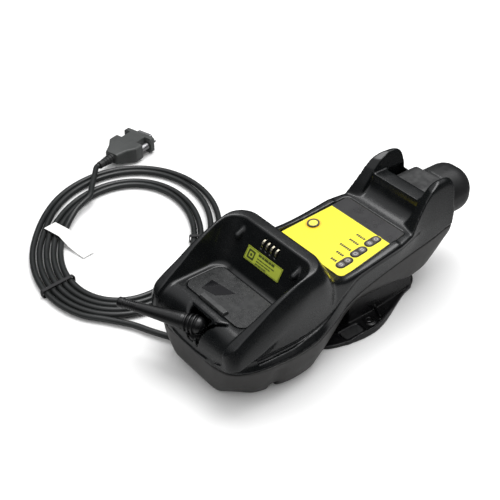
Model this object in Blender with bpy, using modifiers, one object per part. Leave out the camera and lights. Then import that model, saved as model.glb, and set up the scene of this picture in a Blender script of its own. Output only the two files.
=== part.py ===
"""Charging cradle and radio base station for a cordless hand-held barcode reader.

Frame: X across the cradle, -Y at its nose, +Y at its tail, Z up, table at Z = 0.
All lengths below are millimetres; MM turns them into Blender's metres.
"""
import math

import bmesh
import bpy
from mathutils import Matrix, Vector

MM = 0.001
GAP = 0.3                     # clearance between pieces that touch on the real object
WALL = 2.4                    # moulded wall of both shells

# --- outer form of the two shells, as knots (y, value) along the cradle
PARTING_Z = ((-118, 31), (-50, 31), (-20, 33.5), (0, 36.6), (20, 39.2), (55, 43.6), (90, 48), (118, 51.5))
PARTING_W = ((-117, 28), (-113, 39), (-104, 47.5), (-90, 52), (-62, 54.5), (-42, 53), (-20, 46.5),
             (0, 39.8), (20, 35.8), (55, 32.8), (90, 31.3), (117, 29.5))
TOP_Z = ((-117, 44), (-113, 54), (-106, 59.6), (-89, 69.4), (-77, 76.8), (-63, 83.5), (-53, 87.4),
         (-43, 91), (-33, 93.5), (-29, 91), (-24, 78), (-18, 67), (-10, 62.8), (0, 63.1), (54, 69.3),
         (60, 77), (68, 89), (76, 95), (86, 98), (96, 98.5), (103, 97), (109, 91), (114, 79), (117, 64))
TOP_W = ((-117, 41), (-113, 46.5), (-106, 48.5), (-89, 49), (-53, 47.5), (-43, 45.5), (-36, 40), (-31, 33),
         (-27, 36), (-18, 42), (-8, 41), (0, 38.5), (20, 35.5), (55, 32.5), (90, 31), (117, 29))
BOTTOM_Z = ((-117, 20), (-112, 8), (-106, 1.2), (-30, 1.2), (-20, 5), (-8, 15), (4, 23), (16, 25.5),
            (34, 23.8),
            (55, 21), (78, 16), (90, 17), (102, 24), (112, 33), (117, 38))
BOTTOM_W = ((-117, 18), (-112, 24), (-106, 27), (-98, 34), (-89, 42), (-72, 46), (-58, 48), (-44, 47),
            (-30, 41), (-15, 36), (14, 33), (52, 30), (78, 28), (117, 25))
NOSE_Y, TAIL_Y = -117, 117

# --- reader bay
BAY_FLOOR_Z = 57.5
BAY_REAR_Y = -57.5            # where the back wall meets the floor
BAY_WALL_TILT = math.radians(59.6)
BAY_FLOOR_HALF = 38.5
BAY_RIM_HALF = 44.8
BAY_CORNER_R = 11
SADDLE_FRONT_Y, SADDLE_Z = -112.0, 36.0
FLOOR_PLATE = (33.0, -94.4, -61.0, 2.0)       # half width, front y, rear y, thickness
BAR_SIZE = (27.0, 4.2, 3.0)
BAR_TRAVEL = 2.0
CONTACT_PITCH, CONTACT_COUNT = 4.9, 4
CONTACT_W, CONTACT_LEN = 1.5, 6.4
CONTACT_MID_Z = 83.0
NOTICE_SIZE = (38.0, 10.2)
NOTICE_MID_Z = 72.8

# --- deck between bay and tail
DECK_Z0, DECK_SLOPE = 60.9, 0.114             # printed face height at y = 0, and its rise per mm
LABEL_FRONT_Y, LABEL_REAR_Y = -7.5, 60.5
LABEL_T = 0.4
LAMP_XY, LAMP_R = (-25.2, 20.2), 3.7
WINDOW_Y = (7.0, 22.3, 37.6)
WINDOW_SIZE = (6.4, 13.4)
RAMP_FOOT, RAMP_TOP = (60.8, 68.6), (79.6, 85.4)
EAR_INNER = 25.5

# --- spare battery
BATTERY_Z, BATTERY_HALF = 63.0, 19.6
BATTERY_FRONT_Y, CAP_FRONT_Y, CAP_END_Y = 83.0, 117.6, 147.0

# --- antenna
SWIVEL_XY, SWIVEL_Z = (0.0, -106.5), 46.5
ANTENNA_YAW = math.radians(27.5)              # from -X towards the nose
ANTENNA_LEN = 63.0

# --- bracket
PLATE_T = 2.6
BRACKET_HOLE = (34.0, 28.0, 2.3)
BRACKET_OUTLINE = ((0, -22), (33, -22), (40, -8), (44.5, 10), (44.5, 26), (39, 42), (27, 69), (20, 90),
                   (0, 95))

# --- host cable and its plug
CABLE_R = 2.5
CABLE_REST = CABLE_R + 0.9                    # height of the lying cable's middle, above its ties
COIL_CENTRE, COIL_TILT = (-168.0, -60.0), math.radians(141.5)
TAG_AT, TAG_YAW, TAG_HALF_WIDE, TAG_T = (-222.4, -102.6), math.radians(9.0), 6.0, 0.35
TAG_PATH = ((1.0, 6.5), (2.6, 6.9), (4.0, 7.0), (18.7, 8.1), (21.5, 8.0), (26, 6.0), (33, 3.2), (43, 1.6),
            (52, 1.3))
COIL_OUTER, COIL_INNER = (104.0, 78.0), (79.0, 53.0)
COIL_START, COIL_TURNS = math.radians(177), 4.367
CONNECTOR_XY, CONNECTOR_YAW = (-290.0, 36.0), math.radians(16.0)
CONNECTOR_Z = 9.0
HOOD_SIZE = (33.0, 42.0, 15.0)
THUMBSCREW_X = 12.5
PLUG_X, PLUG_Z = -14.0, 10.1

# turns a flat outline into the Y-Z plane
UPRIGHT = Matrix(((0, 0, 1, 0), (1, 0, 0, 0), (0, 1, 0, 0), (0, 0, 0, 1)))


# ------------------------------------------------------------------ helpers
def clear_scene():
    for obj in list(bpy.data.objects):
        bpy.data.objects.remove(obj, do_unlink=True)


def make_collection(name):
    group = bpy.data.collections.new(name)
    bpy.context.scene.collection.children.link(group)
    return group


def make_material(name, colour, roughness, metallic=0.0):
    mat = bpy.data.materials.new(name)
    mat.use_nodes = True
    shader = mat.node_tree.nodes["Principled BSDF"]
    shader.inputs["Base Color"].default_value = (*colour, 1.0)
    shader.inputs["Roughness"].default_value = roughness
    shader.inputs["Metallic"].default_value = metallic
    mat.diffuse_color = (*colour, 1.0)
    return mat


def smooth_step(t):
    return t * t * (3 - 2 * t)


def along(knots, y):
    """Value of a smooth curve through knots (y, value), without overshoot."""
    if y <= knots[0][0]:
        return knots[0][1]
    for i in range(len(knots) - 1):
        (y0, v0), (y1, v1) = knots[i], knots[i + 1]
        if y > y1:
            continue
        before = knots[i - 1] if i else knots[i]
        after = knots[i + 2] if i + 2 < len(knots) else knots[i + 1]
        m0 = limited_slope(before, knots[i], knots[i + 1])
        m1 = limited_slope(knots[i], knots[i + 1], after)
        h, t = y1 - y0, (y - y0) / (y1 - y0)
        return ((2 * t**3 - 3 * t**2 + 1) * v0 + (t**3 - 2 * t**2 + t) * h * m0
                + (3 * t**2 - 2 * t**3) * v1 + (t**3 - t**2) * h * m1)
    return knots[-1][1]


def limited_slope(a, b, c):
    """Slope at b that keeps the curve between its neighbours."""
    left = (b[1] - a[1]) / (b[0] - a[0]) if b[0] != a[0] else 0.0
    right = (c[1] - b[1]) / (c[0] - b[0]) if c[0] != b[0] else 0.0
    if left * right <= 0:
        return 0.0
    return 2 * left * right / (left + right)


def mesh_object(name, bm, mat, group=None):
    mesh = bpy.data.meshes.new(name)
    bm.to_mesh(mesh)
    bm.free()
    obj = bpy.data.objects.new(name, mesh)
    (group or PARTS).objects.link(obj)
    if mat:
        mesh.materials.append(mat)
    return obj


def box(name, low, high, mat, group=None):
    """Box between two corners, with its origin at its centre."""
    size = [(b - a) * MM for a, b in zip(low, high)]
    bm = bmesh.new()
    bmesh.ops.create_cube(bm, size=1.0, matrix=Matrix.Diagonal((*size, 1.0)))
    obj = mesh_object(name, bm, mat, group)
    obj.location = [(a + b) / 2 * MM for a, b in zip(low, high)]
    return obj


def cylinder(name, base, radius, height, mat, group=None, axis="Z", sides=24, top_radius=None):
    """Cylinder or cone from base along an axis, with its origin at the base."""
    bm = bmesh.new()
    bmesh.ops.create_cone(bm, cap_ends=True, segments=sides, radius1=radius * MM,
                          radius2=(radius if top_radius is None else top_radius) * MM, depth=height * MM,
                          matrix=Matrix.Translation((0, 0, height * MM / 2)))
    obj = mesh_object(name, bm, mat, group)
    obj.location = [v * MM for v in base]
    obj.rotation_euler = {"Z": (0, 0, 0), "Y": (-math.pi / 2, 0, 0), "X": (0, math.pi / 2, 0)}[axis]
    return obj


def curve_to_mesh(obj, mat, group=None):
    """Mesh with the curve's evaluated shape and place; the curve goes away."""
    bpy.context.view_layer.update()
    evaluated = obj.evaluated_get(bpy.context.evaluated_depsgraph_get())
    mesh = bpy.data.meshes.new_from_object(evaluated)
    bm = bmesh.new()
    bm.from_mesh(mesh)
    bmesh.ops.remove_doubles(bm, verts=bm.verts, dist=0.00001)
    bmesh.ops.recalc_face_normals(bm, faces=bm.faces)
    bm.to_mesh(mesh)
    bm.free()
    name, place = obj.name, obj.matrix_world.copy()
    bpy.data.objects.remove(obj, do_unlink=True)
    solid = bpy.data.objects.new(name, mesh)
    solid.matrix_world = place
    (group or PARTS).objects.link(solid)
    mesh.materials.clear()
    if mat:
        mesh.materials.append(mat)
    return solid


def prism(name, outline, low, high, mat, group=None, axis="Z"):
    """Flat outline pushed through from low to high along Z, or along X for a (y, z) outline."""
    data = bpy.data.curves.new(name, "CURVE")
    data.dimensions, data.fill_mode = "2D", "BOTH"
    data.extrude = (high - low) / 2 * MM
    spline = data.splines.new("POLY")
    spline.points.add(len(outline) - 1)
    for point, (a, b) in zip(spline.points, outline):
        point.co = (a * MM, b * MM, 0, 1)
    spline.use_cyclic_u = True
    obj = bpy.data.objects.new(name, data)
    (group or PARTS).objects.link(obj)
    middle = (low + high) / 2 * MM
    if axis == "Z":
        obj.location = (0, 0, middle)
    else:
        obj.matrix_world = Matrix.Translation((middle, 0, 0)) @ UPRIGHT
    return curve_to_mesh(obj, mat, group)


def tube(name, path, radius, mat):
    """Round tube along a list of points."""
    data = bpy.data.curves.new(name, "CURVE")
    data.dimensions, data.bevel_depth, data.bevel_resolution = "3D", radius * MM, 2
    data.use_fill_caps = True
    spline = data.splines.new("POLY")
    spline.points.add(len(path) - 1)
    for point, place in zip(spline.points, path):
        point.co = (*[v * MM for v in place], 1)
    obj = bpy.data.objects.new(name, data)
    PARTS.objects.link(obj)
    return curve_to_mesh(obj, mat)


def turned(name, profile, mat, sides=24):
    """Solid turned about Z from (radius, height) points that run top to bottom."""
    bm = bmesh.new()
    verts = [bm.verts.new((r * MM, 0, z * MM)) for r, z in profile]
    for a, b in zip(verts, verts[1:]):
        bm.edges.new((a, b))
    obj = mesh_object(name, bm, mat)
    screw = obj.modifiers.new("Screw", "SCREW")
    screw.axis, screw.angle = "Z", 2 * math.pi
    screw.steps = screw.render_steps = sides
    screw.use_merge_vertices, screw.merge_threshold = True, 0.00001
    return obj


def loft(name, sections, mat, group=None):
    """Skin through closed sections of equal point count, capped at both ends."""
    bm = bmesh.new()
    rings = [[bm.verts.new([v * MM for v in point]) for point in section] for section in sections]
    for ring, following in zip(rings, rings[1:]):
        for i in range(len(ring)):
            j = (i + 1) % len(ring)
            bm.faces.new((ring[i], ring[j], following[j], following[i]))
    bm.faces.new(rings[0][::-1])
    bm.faces.new(rings[-1])
    bmesh.ops.triangulate(bm, faces=bm.faces)
    bmesh.ops.recalc_face_normals(bm, faces=bm.faces)
    return mesh_object(name, bm, mat, group)


def combine(obj, other, operation):
    """Boolean of obj with other, which is kept as a hidden cutter."""
    if other.name not in CUTTERS.objects:
        CUTTERS.objects.link(other)
        PARTS.objects.unlink(other)
    other.hide_render, other.display_type = True, "WIRE"
    modifier = obj.modifiers.new(operation.title(), "BOOLEAN")
    modifier.operation, modifier.object, modifier.solver = operation, other, "EXACT"
    return obj


def cut(obj, *others):
    for other in others:
        combine(obj, other, "DIFFERENCE")
    return obj


def soften(obj, width, segments=2):
    """Rounded edges on a solid that has not been cut yet."""
    bevel = obj.modifiers.new("Bevel", "BEVEL")
    bevel.width, bevel.segments, bevel.limit_method = width * MM, segments, "ANGLE"
    return obj


def round_outline(half_x, low_y, high_y, radius, steps=4):
    """Rectangle with rounded corners, as (x, y) points."""
    corners = ((half_x, high_y, 0), (-half_x, high_y, 90), (-half_x, low_y, 180), (half_x, low_y, 270))
    points = []
    for x, y, start in corners:
        cx, cy = x - math.copysign(radius, x), y - (radius if y == high_y else -radius)
        for k in range(steps + 1):
            a = math.radians(start + 90 * k / steps)
            points.append((cx + radius * math.cos(a), cy + radius * math.sin(a)))
    return points


def both_sides(half):
    """Closed outline from its x >= 0 half, whose end points lie on x = 0."""
    return list(half) + [(-x, y) for x, y in reversed(half) if x > 0]


# ------------------------------------------------------------------ shells
def stations(low, high, extra=()):
    knots = {y for table in (TOP_Z, PARTING_W, BOTTOM_Z) for y, _ in table}
    return sorted(y for y in knots | set(extra) | {low, high} if low <= y <= high)


def section_at(y, half):
    """Full section at y from its x >= 0 half, which starts and ends on x = 0."""
    return [(x, y, z) for x, z in both_sides(half)]


def upper_outer():
    sections = []
    for y in stations(NOSE_Y, TAIL_Y):
        base, top = along(PARTING_Z, y) + GAP / 2, along(TOP_Z, y)
        wide, narrow = along(PARTING_W, y), along(TOP_W, y)
        shoulder = base + min(6.5, 0.35 * (top - base))
        waist = max(narrow + 0.5, wide - 3.5) if y < -10 else wide - 0.6
        half = [(0, base), (wide, base), (waist, shoulder), (max(narrow, waist - 2.5), top - 4),
                (narrow, top - 1.5), (narrow - 1.2, top), (0, top)]
        sections.append(section_at(y, half))
    return loft("upper_shell", sections, LOOK["shell"])


def lower_outer():
    sections = []
    for y in stations(NOSE_Y + 1, TAIL_Y):
        top, base = along(PARTING_Z, y) - GAP / 2, along(BOTTOM_Z, y)
        wide, narrow = along(PARTING_W, y), along(BOTTOM_W, y)
        bulge = narrow + 0.72 * (wide - narrow)
        half = [(0, base), (narrow - 4, base), (narrow, base + 2.5), (bulge, base + 0.5 * (top - base)),
                (wide, top), (0, top)]
        sections.append(section_at(y, half))
    return loft("lower_shell", sections, LOOK["base"])


def upper_void():
    """Hollow round and under the bay, behind its back wall and under the deck."""
    ceiling = ((-94, 61), (-77, 72), (-58, 80), (-50, 83), (-40, 86.5), (-33, 88), (-29, 84),
               (-25, 74), (-20, 64), (-14, 58), (-8, 57.6), (60, 64.6), (68, 66.2), (74, 68.5), (78, 71))
    sections = []
    for y, top in ceiling:
        wide, narrow = along(PARTING_W, y), along(TOP_W, y)
        base = along(PARTING_Z, y)
        waist = (max(narrow + 0.5, wide - 3.5) if y < -10 else wide - 0.6) - 3.0
        shelf = min(waist, narrow - 3)
        sections.append(section_at(y, [(0, base - 3), (wide - 4.6, base - 3), (waist, base + 6.5),
                                       (shelf, top - 3), (shelf - 3, top), (0, top)]))
    return loft("upper_void", sections, None, CUTTERS)


def lower_void():
    sections = []
    for y in stations(-108, 110, (-108, 110)):
        top, base = along(PARTING_Z, y) + 3, along(BOTTOM_Z, y) + WALL
        wide, narrow = along(PARTING_W, y) - 3.0, along(BOTTOM_W, y) - WALL - 0.8
        wall_foot = (narrow + 0.6 * (wide - narrow), base + 0.45 * (top - base))
        sections.append(section_at(y, [(0, base), (narrow - 3, base), (narrow, base + 3), wall_foot,
                                       (wide, top), (0, top)]))
    return loft("lower_void", sections, None, CUTTERS)


def bay_outline(z, grow):
    """Outline of the reader bay at height z, open past the nose."""
    rise = z - BAY_FLOOR_Z
    lean = rise / math.tan(BAY_WALL_TILT)
    half = BAY_FLOOR_HALF + (BAY_RIM_HALF - BAY_FLOOR_HALF) * max(0.0, min(1.0, rise / 30.0)) + grow
    return [(x, y, z) for x, y in round_outline(half, -130, BAY_REAR_Y + lean + grow, BAY_CORNER_R)]


def bay_cavity():
    return loft("bay_cavity", [bay_outline(z, 0) for z in (BAY_FLOOR_Z, 72, 87.5, 103)], None, CUTTERS)


def saddle_cutter():
    """Dished front of the bay, which falls from the floor to the nose lip."""
    drop = BAY_FLOOR_Z - SADDLE_Z
    fall = [(-97 - 12 * t, BAY_FLOOR_Z - drop * smooth_step(t)) for t in (0, 0.25, 0.5, 0.75, 1)]
    outline = [(-96.9, 80)] + fall + [(SADDLE_FRONT_Y, SADDLE_Z + 2), (-130, SADDLE_Z + 2), (-130, 80)]
    return prism("saddle_cut", outline, -39.5, 39.5, None, CUTTERS, axis="X")


def ramp_cutter():
    """Valley between the ears: the concave ramp, then the roof of the battery bay."""
    (y0, z0), (y1, z1) = RAMP_FOOT, RAMP_TOP
    ramp = [(y0 + (y1 - y0) * math.sin(a), z1 - (z1 - z0) * math.cos(a))
            for a in (math.radians(18 * k) for k in range(6))]
    outline = [(50, z0)] + ramp + [(120, z1 - 0.2), (120, 110), (50, 110)]
    return prism("ramp_cut", outline, -EAR_INNER, EAR_INNER, None, CUTTERS, axis="X")


def battery_outline(half, radius):
    return round_outline(half, BATTERY_Z - half, BATTERY_Z + half, radius)


def battery_block(name, half, low_y, high_y, radius, mat, group=None):
    sections = [[(x, y, z) for x, z in battery_outline(half, radius)] for y in (low_y, high_y)]
    return loft(name, sections, mat, group)


def deck_height(y):
    return DECK_Z0 + DECK_SLOPE * y


def deck_piece(name, outline, low, high, mat, group=None):
    """Prism on the sloping deck: outline in x and y, low and high from the printed face."""
    obj = prism(name, outline, low, high, mat, group)
    for vertex in obj.data.vertices:
        world = obj.matrix_world @ vertex.co
        vertex.co.z += (DECK_Z0 + DECK_SLOPE * world.y / MM) * MM
    return obj


def label_outline(inset):
    half = [(0, LABEL_REAR_Y - inset), (31.3 - inset, LABEL_REAR_Y - inset), (35.6 - inset, 0),
            (35.2 - inset, -3.5),
            (32 - inset, -6.5 + inset), (20, LABEL_FRONT_Y + 0.3 + inset), (0, LABEL_FRONT_Y + inset)]
    return both_sides(half)


def pill_outline(x, y, size, grow=0.0):
    wide, long = size[0] + 2 * grow, size[1] + 2 * grow
    return [(px + x, py + y) for px, py in round_outline(wide / 2, -long / 2, long / 2, wide / 2 - 0.01, 5)]


def window_places():
    return [(25.0 - 0.1 * y, y) for y in WINDOW_Y]


def circle_outline(x, y, radius, sides=24):
    return [(x + radius * math.cos(2 * math.pi * k / sides), y + radius * math.sin(2 * math.pi * k / sides))
            for k in range(sides)]


def deck_openings(low, high, grow, tag):
    """Cutters for the lamp and the three windows."""
    cutters = [deck_piece(f"lamp_{tag}", circle_outline(*LAMP_XY, LAMP_R + grow), low, high, None, CUTTERS)]
    for i, (x, y) in enumerate(window_places()):
        outline = pill_outline(x, y, WINDOW_SIZE, grow)
        cutters.append(deck_piece(f"window_{tag}_{i}", outline, low, high, None, CUTTERS))
    return cutters


def wall_matrix(z_mid, x=0.0, out=0.0):
    """Place on the bay's back wall: local X across, local Y up the wall, local Z into the bay."""
    up = Vector((0, math.cos(BAY_WALL_TILT), math.sin(BAY_WALL_TILT)))
    across = Vector((1, 0, 0))
    normal = across.cross(up)
    lean = (z_mid - BAY_FLOOR_Z) / math.tan(BAY_WALL_TILT)
    place = Vector((x, BAY_REAR_Y + lean, z_mid)) + normal * out
    turn = Matrix((across, up, normal)).transposed().to_4x4()
    return Matrix.Translation(place * MM) @ turn


def contact_x(i):
    return (i - (CONTACT_COUNT - 1) / 2) * CONTACT_PITCH


def contact_slots():
    slots = []
    for i in range(CONTACT_COUNT):
        half = (CONTACT_W / 2 + 0.5, CONTACT_LEN / 2 + 0.9, 6.0)
        slot = box(f"contact_slot_{i}", [-h for h in half], half, None, CUTTERS)
        slot.matrix_world = wall_matrix(CONTACT_MID_Z, contact_x(i))
        slots.append(slot)
    return slots


def floor_plate_outline(grow):
    half, front, rear, _ = FLOOR_PLATE
    return round_outline(half + grow, front - grow, rear + grow, 7)


def build_upper_shell():
    shell = upper_outer()
    hollow = upper_void()
    floor_skin = BAY_FLOOR_Z - FLOOR_PLATE[3] - 0.5 - WALL
    cut(hollow, loft("bay_wall_block", [bay_outline(z, WALL) for z in (floor_skin, 72, 87.5, 103)], None,
                     CUTTERS),
        battery_block("battery_wall_block", BATTERY_HALF + 3.0, BATTERY_FRONT_Y - 3.2, 130, 8, None,
                      CUTTERS))
    cut(shell, hollow, bay_cavity(), saddle_cutter(), ramp_cutter())
    cut(shell, battery_block("battery_bore", BATTERY_HALF + 0.5, BATTERY_FRONT_Y - 0.6, 130, 8, None,
                             CUTTERS))
    cut(shell, deck_piece("label_recess", label_outline(-0.3), -LABEL_T - GAP, 20, None, CUTTERS))
    cut(shell, *deck_openings(-9, 5, 0.4, "hole"))
    plate_top = BAY_FLOOR_Z + 0.1
    cut(shell, prism("plate_recess", floor_plate_outline(0.3), BAY_FLOOR_Z - FLOOR_PLATE[3] - 0.5,
                     plate_top, None, CUTTERS))
    cut(shell, box("bar_slot", (-BAR_SIZE[0] / 2 - 0.5, -95.2, 50), (BAR_SIZE[0] / 2 + 0.5, -89.6, 60),
                   None, CUTTERS))
    cut(shell, cylinder("swivel_notch", (*SWIVEL_XY, 34), 8.6, 40, None, CUTTERS))
    cut(shell, *contact_slots())
    cut(shell, box("terminal_window", (-12.4, 74, 53.6), (12.4, 84, 66.4), None, CUTTERS))
    for side in (-1, 1):
        cut(shell, cylinder(f"finger_pocket_{side + 1}", (side * 23, 99, 88.5), 9.0, 20, None, CUTTERS,
                            sides=20))
    return shell


# ------------------------------------------------------------------ sockets and lower shell
RECESS_LOW, RECESS_HIGH = (-27.0, -90.0, -2.0), (27.0, -58.0, 18.0)
SOCKETS = (("host_socket", -14.0, 13.4, 12.0), ("aux_socket", 4.0, 11.0, 12.0),
           ("power_jack", 18.5, 9.0, 11.0))
BOSSES = ((-37.0, -44.0), (37.0, -44.0), (-22.0, 62.0), (22.0, 62.0))
CHANNEL_TURN = math.radians(35)
FEET, FOOT_R, FOOT_T = ((-34.0, -54.0), (34.0, -54.0)), 5.0, 0.9


def cable_channel(name, grow, height):
    """Slot from the recess to the front left corner, for the host cable."""
    channel = box(name, (-26, -4 - grow, -2), (26, 4 + grow, height), None, CUTTERS)
    channel.location = (-30 * MM, -93 * MM, (height - 2) / 2 * MM)
    channel.rotation_euler = (0, 0, CHANNEL_TURN)
    return channel


def build_lower_shell():
    shell = lower_outer()
    hollow = lower_void()
    low, high = RECESS_LOW, RECESS_HIGH
    cut(hollow, box("recess_block", (low[0] - WALL, low[1] - WALL, -4),
                    (high[0] + WALL, high[1] + WALL, 20.4),
                    None, CUTTERS))
    cut(hollow, cable_channel("channel_block", WALL, 11.4))
    cut(hollow, box("side_channel_block", (20, -82.4, -4), (60, -69.6, 11.4), None, CUTTERS))
    for i, (x, y) in enumerate(BOSSES):
        cut(hollow, cylinder(f"boss_{i}", (x, y, 0), 4.0, 60, None, CUTTERS, sides=16))
    cut(hollow, battery_block("battery_floor_block", BATTERY_HALF + 3.0, BATTERY_FRONT_Y - 3.2, 130, 8,
                              None, CUTTERS))
    cut(shell, hollow, box("recess", low, high, None, CUTTERS), cable_channel("channel", 0, 9))
    cut(shell, box("side_channel", (20, -80, -2), (60, -72, 9), None, CUTTERS))
    cut(shell, battery_block("battery_bore_low", BATTERY_HALF + 0.5, BATTERY_FRONT_Y - 0.6, 130, 8, None,
                             CUTTERS))
    for name, x, wide, tall in SOCKETS:
        cut(shell, box(f"{name}_hole", (x - wide / 2 - 0.4, -60, 4 - 0.4),
                       (x + wide / 2 + 0.4, -50, 4 + tall + 0.4),
                       None, CUTTERS))
    for i, (x, y) in enumerate(BOSSES):
        bottom = along(BOTTOM_Z, y)
        cut(shell, cylinder(f"screw_bore_{i}", (x, y, bottom - 2), 1.9, 70, None, CUTTERS, sides=16),
            cylinder(f"screw_sink_{i}", (x, y, bottom - 6), 3.3, 6 + 3.2, None, CUTTERS, sides=20))
    return shell


def build_sockets():
    for name, x, wide, tall in SOCKETS:
        body = box(name, (x - wide / 2, -58.5, 4), (x + wide / 2, -44.5, 4 + tall), LOOK["socket"])
        if name == "power_jack":
            mouth = cylinder("power_mouth", (x, -60, 4 + tall / 2), 2.9, 10, None, CUTTERS, axis="Y")
        else:
            mouth = box(f"{name}_mouth", (x - wide / 2 + 1.2, -60, 5.6),
                        (x + wide / 2 - 1.2, -47, 2.6 + tall),
                        None, CUTTERS)
        cut(body, mouth)
    box("socket_board", (-25, -55, 16.5), (25, -32, 18.1), LOOK["board"])


# ------------------------------------------------------------------ bay pieces
def build_bay_pieces():
    plate = prism("bay_floor_plate", floor_plate_outline(0), BAY_FLOOR_Z - FLOOR_PLATE[3], BAY_FLOOR_Z,
                  LOOK["shell"])
    long, deep, tall = BAR_SIZE
    cut(plate, box("plate_slot", (-long / 2 - 0.5, -96, 50), (long / 2 + 0.5, -89.6, 60), None, CUTTERS))
    bar = box("reader_sense_bar", (-long / 2, -94.6, BAY_FLOOR_Z - 3.4),
              (long / 2, -94.6 + deep, BAY_FLOOR_Z + tall - 0.8),
              LOOK["shell"])
    soften(bar, 0.5)

    notice = box("bay_notice_label", (-NOTICE_SIZE[0] / 2, -NOTICE_SIZE[1] / 2, -0.15),
                 (NOTICE_SIZE[0] / 2, NOTICE_SIZE[1] / 2, 0.15), LOOK["notice"])
    notice.matrix_world = wall_matrix(NOTICE_MID_Z, out=0.45)

    width = CONTACT_PITCH * CONTACT_COUNT + 3
    housing = box("contact_housing", (-width / 2, -6.5, -2.0), (width / 2, 6.5, 2.0), LOOK["socket"])
    behind = -WALL - 2.4
    housing.matrix_world = wall_matrix(CONTACT_MID_Z, out=behind)
    for i in range(CONTACT_COUNT):
        slot = box(f"housing_slot_{i}", (-CONTACT_W / 2 - 0.4, -CONTACT_LEN / 2 - 0.6, -4.0),
                   (CONTACT_W / 2 + 0.4, CONTACT_LEN / 2 + 0.6, 4.0), None, CUTTERS)
        slot.matrix_world = wall_matrix(CONTACT_MID_Z, contact_x(i), behind + 3.0)
        cut(housing, slot)
        half_long = CONTACT_LEN / 2
        side = [(-half_long, -0.4), (half_long, -0.4), (half_long - 1.6, 0.9), (0, 1.3),
                (-half_long + 1.6, 0.9)]
        contact = prism(f"bay_contact_{i + 1}", side, -CONTACT_W / 2, CONTACT_W / 2, LOOK["contact"],
                        axis="X")
        contact.matrix_world = wall_matrix(CONTACT_MID_Z, contact_x(i)) @ UPRIGHT


def build_label():
    label = deck_piece("overlay_label", label_outline(0.2), -LABEL_T, 0, LOOK["label"])
    cut(label, *deck_openings(-5, 5, 0.15, "label_hole"))
    lamp = deck_piece("status_lamp_lens", circle_outline(*LAMP_XY, LAMP_R - 0.2), -6, 0.9, LOOK["lamp"])
    soften(lamp, 0.5)
    for i, (x, y) in enumerate(window_places()):
        lens = deck_piece(f"indicator_window_{i + 1}", pill_outline(x, y, WINDOW_SIZE, -0.2), -5, 0.3,
                          LOOK["window"])
        soften(lens, 0.15, 1)
    box("indicator_board", (-30, 0, 51.2), (30, 44, 52.6), LOOK["board"])


# ------------------------------------------------------------------ inside
def build_inside():
    board = box("main_board", (-23, -30, 34.5), (23, 74, 36.1), LOOK["board"])
    cut(board, *[cylinder(f"board_notch_{i}", (x, y, 30), 5.0, 10, None, CUTTERS, sides=16)
                 for i, (x, y) in enumerate(BOSSES) if y > 0])
    shield = box("radio_module", (-14, -20, 36.4), (14, 6, 40.0), LOOK["shield"])
    soften(shield, 0.6)
    coil = turned("charge_inductor", ((0, 45.4), (5.2, 45.4), (6.2, 44.6), (6.2, 37.4), (5.4, 36.4),
                                      (0, 36.4)),
                  LOOK["socket"], 20)
    coil.location = (-10 * MM, 40 * MM, 0)
    can = turned("reservoir_capacitor", ((0, 48.4), (3.6, 48.4), (4.0, 48.0), (4.0, 36.4), (0, 36.4)),
                 LOOK["can"], 20)
    can.location = (8 * MM, 40 * MM, 0)
    block = box("battery_contact_block", (-12, 75.4, 54), (12, 82.0, 66), LOOK["socket"])
    soften(block, 0.4)
    beeper = cylinder("beeper", (8, 20, 36.4), 6.0, 7.0, LOOK["socket"])
    soften(beeper, 0.6)


def build_case_screws():
    for i, (x, y) in enumerate(BOSSES):
        bottom = along(BOTTOM_Z, y)
        shank = along(PARTING_Z, y) - bottom - 3
        screw = turned(f"case_screw_{i + 1}", ((0, shank), (1.5, shank), (1.5, 2.9), (2.8, 2.9), (2.9, 0.8),
                                               (0, 0.8)),
                       LOOK["steel"], 16)
        screw.location = (x * MM, y * MM, bottom * MM)


def build_feet():
    for i, (x, y) in enumerate(FEET):
        foot = cylinder(f"rubber_foot_{i + 1}", (x, y, 0), FOOT_R, FOOT_T, LOOK["rubber"], sides=24)
        soften(foot, 0.2, 1)


# ------------------------------------------------------------------ spare battery
def build_battery():
    """Pack body inside the bay, and its domed end cap outside."""
    half = BATTERY_HALF
    battery_block("spare_battery_body", half - 0.4, BATTERY_FRONT_Y, CAP_FRONT_Y - GAP, 7.5, LOOK["socket"])
    steps = ((CAP_FRONT_Y, 0.0), (CAP_END_Y - 12, 0.0), (CAP_END_Y - 6, 1.2), (CAP_END_Y - 2.2, 3.6),
             (CAP_END_Y - 0.5, 6.6), (CAP_END_Y, 9.5))
    sections = []
    for y, shrink in steps:
        size = half + 0.4 - shrink
        sections.append([(x, y, z) for x, z in battery_outline(size, min(13, size - 0.5))])
    loft("spare_battery_cap", sections, LOOK["rubber"])
    for i, x in enumerate((-8.0, 8.0)):
        box(f"battery_terminal_{i + 1}", (x - 2, BATTERY_FRONT_Y - GAP - 0.25, 57),
            (x + 2, BATTERY_FRONT_Y - GAP, 63),
            LOOK["contact"])


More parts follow.
